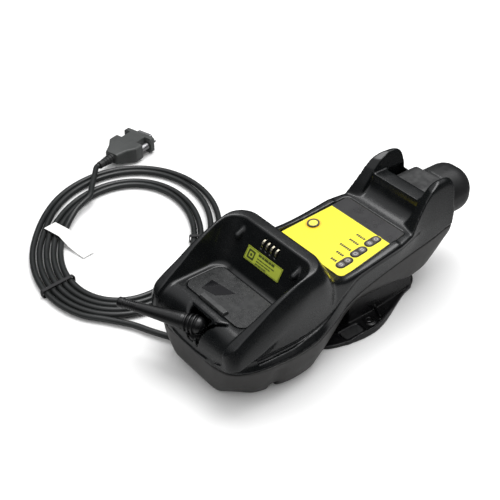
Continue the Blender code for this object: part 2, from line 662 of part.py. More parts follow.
# ------------------------------------------------------------------ antenna
def build_antenna():
    """Fixed socket, knuckle that turns on it, and the whip that tilts on the knuckle."""
    x, y = SWIVEL_XY
    socket = turned("antenna_socket", ((0, 5.2), (5.0, 5.2), (5.6, 4.6), (5.6, 0), (0, 0)), LOOK["rubber"])
    socket.location = (x * MM, y * MM, 34.4 * MM)

    turn = bpy.data.objects.new("antenna_turn_axis", None)
    turn.location = (x * MM, y * MM, SWIVEL_Z * MM)
    turn.rotation_euler = (0, 0, math.pi + ANTENNA_YAW)
    PARTS.objects.link(turn)
    knuckle = turned("antenna_knuckle", ((0, 4.4), (3.4, 4.4), (5.2, 2.8), (5.6, 1), (5.6, -6.4),
                                         (0, -6.4)), LOOK["rubber"])
    knuckle.parent = turn
    slot = box("knuckle_slot", (-9, -1.9, -4.6), (9, 1.9, 9), None, CUTTERS)
    slot.location = (0, 0, 2.2 * MM)
    slot.parent = turn
    cut(knuckle, slot)
    bore = cylinder("knuckle_bore", (0, -9, 0), 1.3, 18, None, CUTTERS, axis="Y", sides=16)
    bore.parent = turn
    cut(knuckle, bore)
    pin = cylinder("antenna_pin", (0, -5.0, 0), 1.0, 10.0, LOOK["steel"], axis="Y", sides=16)
    pin.parent = turn

    whip = build_whip()
    whip.parent = turn


def build_whip():
    """Whip along local +X, with a tongue in the knuckle and a collar of ribs."""
    ribs = [(7.0, 8.6)]
    for k in range(3):
        start = 8.6 + 3.2 * k
        ribs += [(7.2 - 0.3 * k, start), (7.2 - 0.3 * k, start + 2.0), (6.2 - 0.3 * k, start + 2.2),
                 (6.2 - 0.3 * k, start + 3.0)]
    end = ANTENNA_LEN
    tip = [(3.4, end - 14), (3.4, end - 6), (2.6, end - 5.6), (2.6, end - 4.4), (3.5, end - 4),
           (3.5, end - 1), (2.6, end), (0, end)]
    profile = [(0, 7.6), (6.4, 7.6)] + ribs + [(5.4, 20)] + tip
    whip = turned("antenna_whip", profile, LOOK["rubber"], 20)
    bpy.context.view_layer.update()
    mesh = bpy.data.meshes.new_from_object(whip.evaluated_get(bpy.context.evaluated_depsgraph_get()))
    mesh.transform(Matrix.Rotation(math.pi / 2, 4, "Y"))
    bm = bmesh.new()
    bm.from_mesh(mesh)
    bmesh.ops.recalc_face_normals(bm, faces=bm.faces)
    bm.to_mesh(mesh)
    bm.free()
    whip.modifiers.clear()
    whip.data = mesh
    tongue = box("whip_tongue", (-3.0, -1.5, -3.0), (9.0, 1.5, 3.0), None, CUTTERS)
    combine(whip, tongue, "UNION")
    eye = cylinder("whip_eye", (0, -4, 0), 1.3, 8, None, CUTTERS, axis="Y", sides=16)
    cut(whip, eye)
    for part in (tongue, eye):
        part.parent = whip
    return whip


# ------------------------------------------------------------------ bracket
def build_bracket():
    """Flat plate with wings and a raised seat that carries the tail."""
    outline = both_sides([(0, -22)] + list(BRACKET_OUTLINE[1:-1]) + [(0, 95)])
    plate = prism("mounting_bracket", outline, 0, PLATE_T, LOOK["bracket"])
    sections = []
    for y in (14, 24, 40, 58, 74, 84):
        half, top = min(24.0, along(BOTTOM_W, y) - 7), along(BOTTOM_Z, y) - 2 * GAP
        sections.append(section_at(y, [(0, 1), (half + 2, 1), (half, top), (0, top)]))
    combine(plate, loft("bracket_seat", sections, None, CUTTERS), "UNION")
    plate.modifiers[-1].solver = "MANIFOLD"
    cut(plate, box("seat_hollow", (-18, 20, -1), (18, 78, 12), None, CUTTERS))
    x, y, radius = BRACKET_HOLE
    for side in (-1, 1):
        cut(plate, cylinder(f"bracket_hole_{side + 1}", (side * x, y, -2), radius, 10, None, CUTTERS,
                            sides=20))
    for i, side in enumerate((-1, 1)):
        pad = [(px + side * 36, py + 8) for px, py in round_outline(4.5, -9, 9, 3)]
        prism(f"bracket_pad_{i + 1}", pad, PLATE_T + GAP, PLATE_T + GAP + 0.8, LOOK["rubber"])


# ------------------------------------------------------------------ cable
def coil_point(turn):
    """Point of the flat spiral, which winds clockwise and inwards from its outer end."""
    share = turn / COIL_TURNS
    a = COIL_OUTER[0] + (COIL_INNER[0] - COIL_OUTER[0]) * share
    b = COIL_OUTER[1] + (COIL_INNER[1] - COIL_OUTER[1]) * share
    angle = COIL_START - 2 * math.pi * turn
    px, py = a * math.cos(angle), b * math.sin(angle)
    c, s = math.cos(COIL_TILT), math.sin(COIL_TILT)
    lift = smooth_step(max(0.0, (turn - COIL_TURNS + 0.12) / 0.12)) * (2 * CABLE_R + 1.0)
    return (COIL_CENTRE[0] + c * px - s * py, COIL_CENTRE[1] + s * px + c * py, CABLE_REST + lift)


def connector_place(x, y, z=0.0):
    """World place of a point in the connector's frame: X across, Y towards its mate."""
    c, s = math.cos(CONNECTOR_YAW), math.sin(CONNECTOR_YAW)
    return (CONNECTOR_XY[0] + c * x - s * y, CONNECTOR_XY[1] + s * x + c * y, CONNECTOR_Z + z)


def build_cable():
    """From the modular plug, out of the channel, round the coil and into the strain relief."""
    lead = [(PLUG_X, -70.6, PLUG_Z), (PLUG_X, -77, 9.4), (-15.5, -82, 7.6), (-20, -86.6, 5.8),
            (-29, -92.4, 4.4), (-40, -100, 3.6), (-56, -108.6, CABLE_REST), (-72, -116, CABLE_REST)]
    count = int(COIL_TURNS * 24)
    coil = [coil_point(COIL_TURNS * k / count) for k in range(count + 1)]
    end = connector_place(0, -HOOD_SIZE[1] - 17.5)
    before = connector_place(0, -HOOD_SIZE[1] - 21.0)
    x, y, z = coil[-1]
    bridge = [(x + (before[0] - x) * t, y + (before[1] - y) * t, z + (before[2] - z) * t)
              for t in (0.25, 0.5, 0.75)]
    tube("host_cable", lead + coil + bridge + [before, end], CABLE_R, LOOK["cable"])


def build_plug():
    """Modular plug in the host socket, with its release tab underneath."""
    plug = box("cable_plug", (PLUG_X - 5.1, -70.3, PLUG_Z - 4), (PLUG_X + 5.1, -48.5, PLUG_Z + 4),
               LOOK["socket"])
    soften(plug, 0.4, 1)
    box("plug_release_tab", (PLUG_X - 2.5, -69.2, PLUG_Z - 5.8), (PLUG_X + 2.5, -60.6, PLUG_Z - 4.9),
        LOOK["socket"])


def seat_on_connector(obj):
    obj.matrix_world = (Matrix.Translation([v * MM for v in (*CONNECTOR_XY, CONNECTOR_Z)])
                        @ Matrix.Rotation(CONNECTOR_YAW, 4, "Z") @ obj.matrix_world)
    return obj


def d_outline(half_wide, half_tall, slant=1.2, radius=1.6):
    """D-shaped outline of a nine-way connector, wider at the top."""
    corners = [(half_wide, half_tall), (-half_wide, half_tall), (-half_wide + slant, -half_tall),
               (half_wide - slant, -half_tall)]
    points = []
    for i, corner in enumerate(corners):
        before, here, after = Vector(corners[i - 1]), Vector(corner), Vector(corners[(i + 1) % 4])
        start = here + (before - here).normalized() * radius
        finish = here + (after - here).normalized() * radius
        points += [start, (start + finish) / 4 + here / 2, finish]
    return [(p.x, p.y) for p in points]


def connector_ring(name, half_wide, half_tall, low_y, high_y, mat, group=None):
    sections = [[(x, y, z) for x, z in d_outline(half_wide, half_tall)] for y in (low_y, high_y)]
    return seat_on_connector(loft(name, sections, mat, group))


def build_connector():
    wide, long, tall = HOOD_SIZE
    sections = []
    for y, half, height in ((-long, 7.0, 5.2), (-long + 9, 11.0, 6.8), (-long + 16, wide / 2, tall / 2),
                            (-GAP, wide / 2, tall / 2)):
        sections.append([(x, y, z) for x, z in round_outline(half, -height, height, 2.0, 3)])
    hood = seat_on_connector(loft("connector_hood", sections, LOOK["socket"]))
    for side in (-1, 1):
        notch = box(f"hood_notch_{side + 1}", (side * 13.2 - 4.2, -17, -12), (side * 13.2 + 4.2, -5, 12),
                    None, CUTTERS)
        bore = cylinder(f"hood_bore_{side + 1}", (side * THUMBSCREW_X, -8, 0), 2.0, 12, None, CUTTERS,
                        axis="Y",
                        sides=16)
        bpy.context.view_layer.update()
        cut(hood, seat_on_connector(notch), seat_on_connector(bore))

    flange = prism("connector_shell", round_outline(15.4, -6.2, 6.2, 1.5, 3), 0, 1.0, LOOK["shield"])
    flange.data.transform(Matrix.Translation((0, 0, 0.5 * MM)))
    flange.matrix_world = Matrix.Rotation(math.pi / 2, 4, "X") @ Matrix.Diagonal((1, 1, -1, 1))
    flange.data.flip_normals()
    seat_on_connector(flange)
    combine(flange, connector_ring("shell_ring", 8.5, 4.2, 0.5, 6.8, None, CUTTERS), "UNION")
    cut(flange, connector_ring("shell_bore", 8.0, 3.7, -1, 8, None, CUTTERS))
    insert = connector_ring("connector_insert", 7.7, 3.4, 0.2, 6.0, LOOK["socket"])
    for row, count in ((1.4, 5), (-1.4, 4)):
        for k in range(count):
            hole = cylinder(f"pin_hole_{count}_{k}", ((k - (count - 1) / 2) * 2.76, 2.0, row), 0.55, 6,
                            None, CUTTERS,
                            axis="Y", sides=8)
            bpy.context.view_layer.update()
            cut(insert, seat_on_connector(hole))
    for side in (-1, 1):
        bore = cylinder(f"flange_bore_{side + 1}", (side * THUMBSCREW_X, -2, 0), 1.8, 6, None, CUTTERS,
                        axis="Y",
                        sides=16)
        bpy.context.view_layer.update()
        cut(flange, seat_on_connector(bore))
    for i, side in enumerate((-1, 1)):
        screw = turned(f"thumbscrew_{i + 1}", ((0, 21.5), (1.1, 21.5), (1.4, 21), (1.4, 9.6), (3.0, 9.6),
                                               (3.2, 9.2),
                                               (3.2, 0.8), (3.0, 0.4), (0, 0.4)), LOOK["shield"], 20)
        screw.location = [v * MM for v in connector_place(side * THUMBSCREW_X, -16)]
        screw.rotation_euler = (-math.pi / 2, 0, CONNECTOR_YAW)
    ribbed = ((0, 16.9), (4.6, 16.9), (4.6, 15), (4.0, 14.6), (4.3, 14.2), (4.3, 12), (3.8, 11.6),
              (4.0, 11.2), (4.0, 9), (3.5, 8.6), (3.7, 8.2), (3.7, 6), (3.2, 5.6), (3.4, 5.2),
              (3.4, 0.3), (0, 0.3))
    relief = turned("strain_relief", ribbed, LOOK["rubber"], 16)
    relief.location = [v * MM for v in connector_place(0, -HOOD_SIZE[1] - 17.2)]
    relief.rotation_euler = (-math.pi / 2, 0, CONNECTOR_YAW)


def band(name, turn, strands, mat):
    """Closed strip round neighbouring strands of the coil."""
    outer, inner = Vector(coil_point(turn)), Vector(coil_point(turn + strands - 1))
    across = (outer - inner).normalized()
    middle, half = (outer + inner) / 2, (outer - inner).length / 2 + CABLE_R + 1.0
    strips = []
    for label, shape, wide in (("", round_outline(half + 0.6, 0.05, 7.0, 1.8, 3), 1.6),
                               ("_inside", round_outline(half, 0.6, 6.4, 1.2, 3), 3.0)):
        sections = [[(x, y, z) for x, z in shape] for y in (-wide, wide)]
        strip = loft(name + label, sections, mat, CUTTERS if label else None)
        strip.location = (middle.x * MM, middle.y * MM, 0)
        strip.rotation_euler = (0, 0, math.atan2(across.y, across.x))
        strips.append(strip)
    return cut(strips[0], strips[1])


def build_ties():
    band("cable_tie_1", 0.12, 5, LOOK["tie"])
    band("cable_tie_2", 0.74, 4, LOOK["tie"])


def build_tag():
    """Blank paper tag folded over the inner strands, its free end resting inside the coil."""
    path = [Vector(p) for p in TAG_PATH]
    above, below = [], []
    for i, point in enumerate(path):
        ahead = (path[min(i + 1, len(path) - 1)] - path[max(i - 1, 0)]).normalized()
        lift = Vector((-ahead.y, ahead.x)) * TAG_T / 2
        above.append(point + lift)
        below.append(point - lift)
    outline = below + above[::-1]
    sections = [[(p.x, y, p.y) for p in outline] for y in (-TAG_HALF_WIDE, TAG_HALF_WIDE)]
    tag = loft("paper_tag", sections, LOOK["paper"])
    tag.location = (TAG_AT[0] * MM, TAG_AT[1] * MM, 0)
    tag.rotation_euler = (0, 0, TAG_YAW)


def main():
    build_upper_shell()
    build_lower_shell()
    build_sockets()
    build_bay_pieces()
    build_label()
    build_inside()
    build_case_screws()
    build_feet()
    build_battery()
    build_antenna()
    build_bracket()
    build_plug()
    build_cable()
    build_connector()
    build_ties()
    build_tag()


clear_scene()
PARTS = make_collection("reader_cradle")
CUTTERS = make_collection("cutters")
LOOK = {
    "shell": make_material("satin_black_plastic", (0.018, 0.02, 0.021), 0.32),
    "base": make_material("matte_black_plastic", (0.035, 0.036, 0.037), 0.55),
    "bracket": make_material("bracket_plastic", (0.025, 0.026, 0.027), 0.5),
    "label": make_material("printed_overlay", (0.75, 0.62, 0.03), 0.4),
    "lamp": make_material("amber_lens", (0.9, 0.35, 0.02), 0.2),
    "window": make_material("smoked_window", (0.12, 0.11, 0.1), 0.25),
    "notice": make_material("notice_label", (0.45, 0.5, 0.04), 0.45),
    "socket": make_material("black_nylon", (0.02, 0.02, 0.02), 0.5),
    "board": make_material("circuit_board", (0.02, 0.16, 0.06), 0.5),
    "shield": make_material("tin_plate", (0.65, 0.65, 0.66), 0.35, 1.0),
    "can": make_material("capacitor_sleeve", (0.05, 0.06, 0.2), 0.4),
    "steel": make_material("screw_steel", (0.55, 0.55, 0.56), 0.3, 1.0),
    "contact": make_material("gold_plate", (0.85, 0.75, 0.5), 0.3, 1.0),
    "rubber": make_material("black_rubber", (0.02, 0.02, 0.02), 0.7),
    "cable": make_material("cable_jacket", (0.03, 0.032, 0.033), 0.45),
    "tie": make_material("tie_strip", (0.015, 0.015, 0.015), 0.6),
    "paper": make_material("paper_tag", (0.85, 0.85, 0.84), 0.8),
}
main()
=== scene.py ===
"""Looks of the reader charging cradle: moulded skins, prints, cable and studio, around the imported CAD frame.

Lengths are millimetres unless a name says metres; MM turns them into Blender's metres.
"""
import math

import bmesh
import bpy
import numpy as np
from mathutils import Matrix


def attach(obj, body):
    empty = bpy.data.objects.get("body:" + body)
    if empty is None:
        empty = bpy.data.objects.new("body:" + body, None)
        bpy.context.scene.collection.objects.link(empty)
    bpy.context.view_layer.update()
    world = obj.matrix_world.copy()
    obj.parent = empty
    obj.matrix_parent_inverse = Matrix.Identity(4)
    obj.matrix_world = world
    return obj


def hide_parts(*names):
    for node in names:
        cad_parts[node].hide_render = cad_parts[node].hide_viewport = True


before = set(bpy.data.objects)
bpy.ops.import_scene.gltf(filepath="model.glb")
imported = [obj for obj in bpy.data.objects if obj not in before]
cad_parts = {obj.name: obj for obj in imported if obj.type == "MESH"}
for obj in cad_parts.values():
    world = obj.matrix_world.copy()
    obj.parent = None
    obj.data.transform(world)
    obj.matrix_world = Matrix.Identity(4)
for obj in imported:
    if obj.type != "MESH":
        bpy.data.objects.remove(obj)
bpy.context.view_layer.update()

import openvdb as vdb
from mathutils import Matrix, Vector

MM = 0.001
VOXEL = 0.75
MAX_TRIANGLES = 185000

# --- outlines of the casings, as knots (y, value) along the cradle
PARTING_Z = ((-118, 31), (-50, 31), (-20, 33.5), (0, 36.6), (20, 39.2), (55, 43.6), (90, 48), (118, 51.5))
PARTING_W = ((-114.4, 26), (-113, 33), (-110.5, 39.5), (-104.5, 45.5), (-92, 51), (-77, 53.4), (-62, 54.5),
             (-42, 53), (-20, 46.5), (0, 39.8), (20, 35.8), (55, 32.8), (90, 31.3), (117, 29.5))
TOP_W = ((-114.4, 24), (-113, 31), (-110.5, 37), (-104.5, 43), (-92, 47.5), (-75, 48.5), (-53, 47.5),
         (-43, 45.5), (-36, 43), (-27, 42), (-18, 42.5), (-8, 42.2), (0, 41.8), (20, 41), (48, 40), (62, 37),
         (74, 33.8), (90, 32), (117, 30.4))
WAIST_W = ((-114.4, 24), (-113, 31), (-110.5, 37), (-104.5, 42.5), (-92, 46.6), (-80, 47.6), (-60, 48.4),
           (-49, 47.6), (-35, 46.4), (-22, 45), (-9, 43.2), (9, 41.4), (20, 41), (48, 40), (62, 37.2), (74, 34),
           (90, 32), (117, 30))
BOTTOM_Z = ((-117, 20), (-112, 8), (-106, 1.2), (-30, 1.2), (-20, 5), (-8, 15), (4, 23), (16, 25.5), (34, 23.8),
            (55, 21), (78, 16), (90, 17), (102, 24), (112, 33), (117, 38))
BOTTOM_W = ((-117, 18), (-112, 24), (-106, 27), (-98, 34), (-89, 42), (-72, 46), (-58, 48), (-44, 47),
            (-30, 41), (-15, 36), (14, 33), (52, 30), (78, 28), (117, 25))
RIM_Z = ((-119, 38), (-117, 45), (-113, 54), (-106, 59.6), (-89, 69.4), (-77, 76.8), (-63, 83.5), (-53, 87.4),
         (-43, 89.6), (-33, 90.4), (-20, 90.4))
TUB_Z = ((-117, 33), (-112, 38), (-106, 43.5), (-89, 56.5), (-77, 64), (-63, 70.5), (-53, 74), (-43, 76.5),
         (-33, 75), (-24, 70.5), (-15, 66), (-6, 63.2), (0, 63.1), (50, 68.4), (56, 69.8), (61, 72.5), (65, 77.5),
         (69.5, 85.5), (74, 91), (80, 95), (87, 97.3), (94, 98.1), (101, 98), (106.5, 96.8), (111, 93),
         (114.5, 83.5), (117, 67))
CREASE_RISE = ((-118, 6), (-41, 6.8), (-22, 10.4), (-9, 15.8), (9, 21.5), (20, 21.6), (48, 20.4), (80, 17.5),
               (117, 12))
NOSE_Y, TAIL_Y = -114.4, 117
WALL = 3.2
SEAM = 0.5

BAY_FLOOR_Z, BAY_REAR_Y, BAY_WALL_TILT = 57.5, -57.5, math.radians(59.6)
BAY_FLOOR_HALF, BAY_RIM_HALF, BAY_CORNER_R = 38.5, 44.4, 13
RIM_THICK = 2.1
FRONT_WALL_Y = -115.0
FLANK_SWELL = 4.6                             # how far the flank swells out below the rim
FLANK_REACH = ((-117, 12), (-106, 17), (-85, 21), (-60, 18), (-45, 13), (-30, 12))
FLOOR_PLATE = (33.0, -94.4, -61.0)            # half width, front y, rear y
ROLL_START_Y, ROLL_LENGTH = -97.5, 16.3       # where the bay floor rolls down to the nose lip
LIP_Z, LIP_RISE, LIP_HALF = 32.6, 7.2, 36.0
CONTACT_PITCH, CONTACT_MID_Z = 4.9, 83.0
NOTICE_MID_Z = 72.8
DECK_Z0, DECK_SLOPE = 60.9, 0.114
LAMP_XY, LAMP_R = (-25.2, 20.2), 3.7
WINDOW_Y, WINDOW_SIZE = (7.0, 22.3, 37.6), (6.4, 13.4)
EAR_INNER = 24.6
BATTERY_Z, BATTERY_HALF, BATTERY_FRONT_Y = 63.0, 19.6, 83.0
CAP_FRONT_Y, CAP_END_Y = 117.6, 152.0
SWIVEL = (0.0, -106.5, 46.5)
NOTCH_R, NOTCH_FLOOR_Z = 7.0, 37.0            # where the antenna's ball sits in the nose
SLOT_PATH, SLOT_FLOOR_Z = ((22.0, -98.9), (15.0, -103.8), (7.6, -111.5)), 36.5
CREASE_SPAN = (-91, 74)
BAY_PEG = ((30.9, -40.9, 82), (30.9, -47.4, 79))
BAR_Y = -92.4
EAR_LEDGE_Z = 78.0
BASE_FLUTE = ((51, -76, 0), (55.5, -76, 21))  # scallop in each flank of the lower shell
CHANNEL_TOP_Z = 9.0                           # cable channels under the nose
SOCKET_HOLES = ((-14.0, 13.4, 12.0), (4.0, 11.0, 12.0), (18.5, 9.0, 11.0))    # x, width, height
CASE_SCREWS = ((37.0, -44.0), (22.0, 62.0))


# ------------------------------------------------------------------ curves along the cradle
def along(knots, y):
    """Smooth monotone curve through knots, for one y or an array of them."""
    at, value = (np.array(column, float) for column in zip(*knots))
    step = np.diff(value) / np.diff(at)
    slope = np.zeros(len(at))
    for i in range(1, len(at) - 1):
        left, right = step[i - 1], step[i]
        if left * right > 0:
            slope[i] = 2 * left * right / (left + right)
    y = np.clip(y, at[0], at[-1])
    i = np.clip(np.searchsorted(at, y, side="right") - 1, 0, len(at) - 2)
    h = at[i + 1] - at[i]
    t = (y - at[i]) / h
    return ((2 * t**3 - 3 * t**2 + 1) * value[i] + (t**3 - 2 * t**2 + t) * h * slope[i]
            + (3 * t**2 - 2 * t**3) * value[i + 1] + (t**3 - t**2) * h * slope[i + 1])


def ease(t):
    t = np.clip(t, 0, 1)
    return t * t * (3 - 2 * t)


def deck_height(y):
    return DECK_Z0 + DECK_SLOPE * y


# ------------------------------------------------------------------ distance fields
class Block:
    """Box of space on a grid, holding a signed distance in millimetres, negative inside the solid."""

    def __init__(self, low, high, voxel=VOXEL):
        self.low, self.voxel = np.array(low, float), voxel
        if low[0] == -high[0]:                # the centre plane falls on the grid
            self.low[0] = -voxel * int(high[0] / voxel)
            high = (-self.low[0], *high[1:])
        axes = [np.arange(a, b + voxel / 2, voxel, dtype=np.float32) for a, b in zip(self.low, high)]
        self.x, self.y, self.z = np.ix_(*axes)
        self.shape = tuple(len(a) for a in axes)
        self.side = np.abs(self.x)


def join(a, b, radius):
    """Union with a fillet."""
    h = np.maximum(radius - np.abs(a - b), 0) / radius
    return np.minimum(a, b) - h * h * radius / 4


def meet(a, b, radius):
    """Intersection with a rounded edge."""
    return -join(-a, -b, radius)


def carve(a, b, radius):
    """a without b, with a rounded edge."""
    return meet(a, -b, radius)


def soften(field, voxel, reach):
    """Rounds every edge by a Gaussian of the given reach in millimetres."""
    sigma = reach / voxel
    half = max(1, int(round(2.5 * sigma)))
    weights = np.exp(-0.5 * (np.arange(-half, half + 1) / sigma) ** 2)
    weights /= weights.sum()
    for axis in range(3):
        pad = [(0, 0)] * 3
        pad[axis] = (half, half)
        wide = np.pad(field, pad, mode="edge")
        length = field.shape[axis]
        field = sum(w * np.take(wide, range(k, k + length), axis) for k, w in enumerate(weights))
    return field.astype(np.float32)


def round_box(u, v, half_u, half_v, radius):
    """Distance to a rounded rectangle about the origin."""
    du, dv = np.abs(u) - half_u + radius, np.abs(v) - half_v + radius
    outside = np.hypot(np.maximum(du, 0), np.maximum(dv, 0))
    return outside + np.minimum(np.maximum(du, dv), 0) - radius


def slab(w, low, high):
    return np.maximum(low - w, w - high)


def segment(u, v, start, end):
    """Distance in a plane to a straight piece between two points."""
    du, dv = end[0] - start[0], end[1] - start[1]
    t = np.clip(((u - start[0]) * du + (v - start[1]) * dv) / (du * du + dv * dv), 0, 1)
    return np.hypot(u - start[0] - t * du, v - start[1] - t * dv)


def capsule(b, start, end, radius):
    """Distance to a round-ended rod, mirrored in the centre plane."""
    d = np.subtract(end, start)
    px, py, pz = b.side - start[0], b.y - start[1], b.z - start[2]
    t = np.clip((px * d[0] + py * d[1] + pz * d[2]) / float(d @ d), 0, 1)
    return np.sqrt((px - t * d[0])**2 + (py - t * d[1])**2 + (pz - t * d[2])**2) - radius


def rounded(points):
    """Polyline through (x, z, radius) corners, with each corner replaced by a short curve."""
    line = []
    for i, (x, z, radius) in enumerate(points):
        here = np.array((x, z), float)
        if radius == 0:
            line.append(here)
            continue
        ends = []
        for x2, z2, _ in (points[i - 1], points[i + 1]):
            away = np.array((x2, z2)) - here
            size = max(np.hypot(*away), 1e-6)
            ends.append(here + away / size * min(radius, 0.45 * size))
        for t in (0, 0.2, 0.4, 0.6, 0.8, 1):
            line.append((1 - t)**2 * ends[0] + 2 * t * (1 - t) * here + t * t * ends[1])
    return np.array(line)


def slice_distance(line, x, z):
    """Distance on one slice to the region between an open line and the plane x = 0."""
    p, d = line[:-1], np.diff(line, axis=0)
    px, pz = x[:, None, None] - p[:, 0], z[None, :, None] - p[:, 1]
    size = np.maximum((d * d).sum(1), 1e-9)
    t = np.clip((px * d[:, 0] + pz * d[:, 1]) / size, 0, 1)
    distance = np.sqrt(((px - t * d[:, 0])**2 + (pz - t * d[:, 1])**2).min(-1))
    rise = np.where(np.abs(d[:, 1]) < 1e-9, 1e-9, d[:, 1])
    crosses = ((pz < 0) != (pz < d[:, 1])) & (px < pz / rise * d[:, 0])
    inside = crosses.sum(-1) % 2 == 1
    return np.where(inside, -distance, distance)


def hull(b, half_section, low_y, high_y):
    """Distance to the solid whose half section at y is half_section(y)."""
    field = np.empty(b.shape, np.float32)
    x, z = b.side[:, 0, 0], b.z[0, 0, :]
    ys = b.y[0, :, 0]
    half = len(x) - int(np.argmin(x))
    for j, y in enumerate(ys):
        line = rounded(half_section(float(np.clip(y, low_y, high_y))))
        part = slice_distance(line, x[-half:], z)
        field[:, j, :] = part[np.abs(np.arange(len(x)) - (len(x) - half))]
    return np.maximum(field, slab(b.y, low_y, high_y))


def unit_speed(field, voxel):
    """Rescales a field so that it grows by about 1 mm a millimetre near its surface."""
    grad = np.gradient(field, voxel)
    speed = np.sqrt(sum(g * g for g in grad))
    return field / np.clip(speed, 0.35, 3)


def skin(b, field, name):
    """Mesh of a field's zero surface."""
    grid = vdb.FloatGrid(3.0)
    grid.copyFromArray(np.clip(field / b.voxel, -3, 3).astype(np.float32))
    points, quads = grid.convertToQuads(0.0)
    points = (b.low + points * b.voxel) * MM
    quads = quads[:, ::-1]
    mesh = bpy.data.meshes.new(name)
    mesh.vertices.add(len(points))
    mesh.vertices.foreach_set("co", points.astype(np.float32).ravel())
    mesh.loops.add(quads.size)
    mesh.loops.foreach_set("vertex_index", quads.astype(np.int32).ravel())
    mesh.polygons.add(len(quads))
    mesh.polygons.foreach_set("loop_start", np.arange(0, quads.size, 4, dtype=np.int32))
    mesh.polygons.foreach_set("loop_total", np.full(len(quads), 4, np.int32))
    mesh.update(calc_edges=True)
    mesh.validate()
    mesh.shade_smooth()
    obj = bpy.data.objects.new(name, mesh)
    bpy.context.scene.collection.objects.link(obj)
    triangles = 2 * len(quads)
    if triangles > MAX_TRIANGLES:
        thin = obj.modifiers.new("Decimate", "DECIMATE")
        thin.ratio = MAX_TRIANGLES / triangles
    return obj


# ------------------------------------------------------------------ upper shell
def crease_height(y):
    """z of the groove that runs along each side of the upper shell."""
    return along(PARTING_Z, y) + along(CREASE_RISE, y)


def upper_half(y):
    """Half section of the tub and deck: skirt, crease, side panel and top."""
    part, top = along(PARTING_Z, y), along(TUB_Z, y)
    wide, narrow = along(PARTING_W, y), along(TOP_W, y)
    crease, waist = float(crease_height(y)), float(along(WAIST_W, y))
    crease = min(crease, top - 1.2)
    shelf = min(narrow, waist + 0.2)
    blunt = 1.8 + 0.7 * float(ease((y - 60) / 14))
    return [(0, part - 6, 0), (wide, part - 6, 0), (wide, part, 1.5), (waist, crease, 2),
            (shelf, max(crease, top - blunt), blunt), (shelf - blunt, top, blunt), (0, top, 0)]


def bay_plan(b, grow):
    """Distance in plan, height by height, to the reader bay's outline grown outwards."""
    rise = b.z - BAY_FLOOR_Z
    half = BAY_FLOOR_HALF + (BAY_RIM_HALF - BAY_FLOOR_HALF) * np.clip(rise / 30, 0, 1) + grow
    rear = BAY_REAR_Y + rise / math.tan(BAY_WALL_TILT) + grow
    front = -150
    middle, half_long = (rear + front) / 2, (rear - front) / 2
    return round_box(b.x, b.y - middle, half, half_long, BAY_CORNER_R + grow)


def bay_block(b):
    """Outer walls of the bay: a flank that swells below the rim and draws in again to the crease."""
    rim = along(RIM_Z, b.y)
    walls = bay_plan(b, RIM_THICK)
    rear = -31.0 + 0.52 * np.clip(93 - b.z, 0, 40)
    reach = along(FLANK_REACH, b.y)
    top = 1 - np.clip((rim - b.z) / reach, 0, 1)
    swell = FLANK_SWELL * (1 - top * top)
    foot = ease((rim - reach - b.z) / np.maximum(rim - reach - crease_height(b.y), 4))
    half = 46.4 + swell + foot * (along(WAIST_W, b.y) - 46.4 - FLANK_SWELL)
    outer = round_box(b.x, b.y - (rear - 150) / 2, half, (rear + 150) / 2, 16.5)
    front = round_box(b.x, b.y, half + 0.9, -FRONT_WALL_Y, 10)
    return meet(meet(join(walls, outer, 0.6), front, 0.8), b.z - rim, 0.6)


def floor_height(b):
    """The bay floor, which rolls down in front to a lip that rises to both sides."""
    lip = LIP_Z + LIP_RISE * (b.side / LIP_HALF) ** 2
    t = np.clip((ROLL_START_Y - b.y) / ROLL_LENGTH, 0, 1)
    return lip + (BAY_FLOOR_Z - lip) * np.sqrt(np.maximum(1 - t ** 2.2, 0))


def ear_front(z):
    """y of the ears' outer front edge at height z."""
    return np.interp(z, (60, 68, 77, 88, 94, 98, 100), (61, 63, 69.5, 78, 84, 92, 97))


def tail_valley(b):
    """Room between the ears: concave ramp, flat strip, and the slanted inner faces of the ears."""
    back = ease((b.y - ear_front(b.z) + 1) / 5)
    half = along(TOP_W, b.y) + 1 - (along(TOP_W, b.y) + 1 - EAR_INNER) * back
    t = np.clip((b.y - 60.8) / 18.8, 0, 1)
    ramp = 68.2 + 16.8 * (1 - np.sqrt(np.maximum(1 - t * t, 0)))
    ramp = np.where(b.y < 60.8, np.minimum(68.2, deck_height(b.y) + 8), ramp)
    return meet(meet(b.side - half, ramp - b.z, 2.5), 50 - b.y, 1)


def pill(b, x, y, grow=0.0):
    half_wide, half_long = WINDOW_SIZE[0] / 2 + grow, WINDOW_SIZE[1] / 2 + grow
    return round_box(b.x - x, b.y - y, half_wide, half_long, half_wide - 0.01)


def window_places():
    return [(25.0 - 0.1 * y, y) for y in WINDOW_Y]


def label_plan(b, inset):
    """Distance in plan to the printed overlay's outline."""
    half = np.interp(b.y, (-7.5, 0, 60.5), (35.9, 35.6, 31.3))
    middle, long = (60.5 - 7.5) / 2, (60.5 + 7.5) / 2
    return round_box(b.x * 35 / half, b.y - middle, 35 - inset, long - inset, 3.5)


def wall_frame(b, z_mid, x=0.0):
    """Coordinates across, up and out of the bay's back wall, about a point on it."""
    up = (math.cos(BAY_WALL_TILT), math.sin(BAY_WALL_TILT))
    y0 = BAY_REAR_Y + (z_mid - BAY_FLOOR_Z) / math.tan(BAY_WALL_TILT)
    dy, dz = b.y - y0, b.z - z_mid
    return b.x - x, dy * up[0] + dz * up[1], -dy * up[1] + dz * up[0]


def pierce(body, hole):
    """Cut with sharp edges."""
    return np.maximum(body, -hole)


def battery_bore(b):
    size = BATTERY_HALF + 0.5
    return np.maximum(round_box(b.x, b.z - BATTERY_Z, size, size, 8), BATTERY_FRONT_Y - 0.6 - b.y)


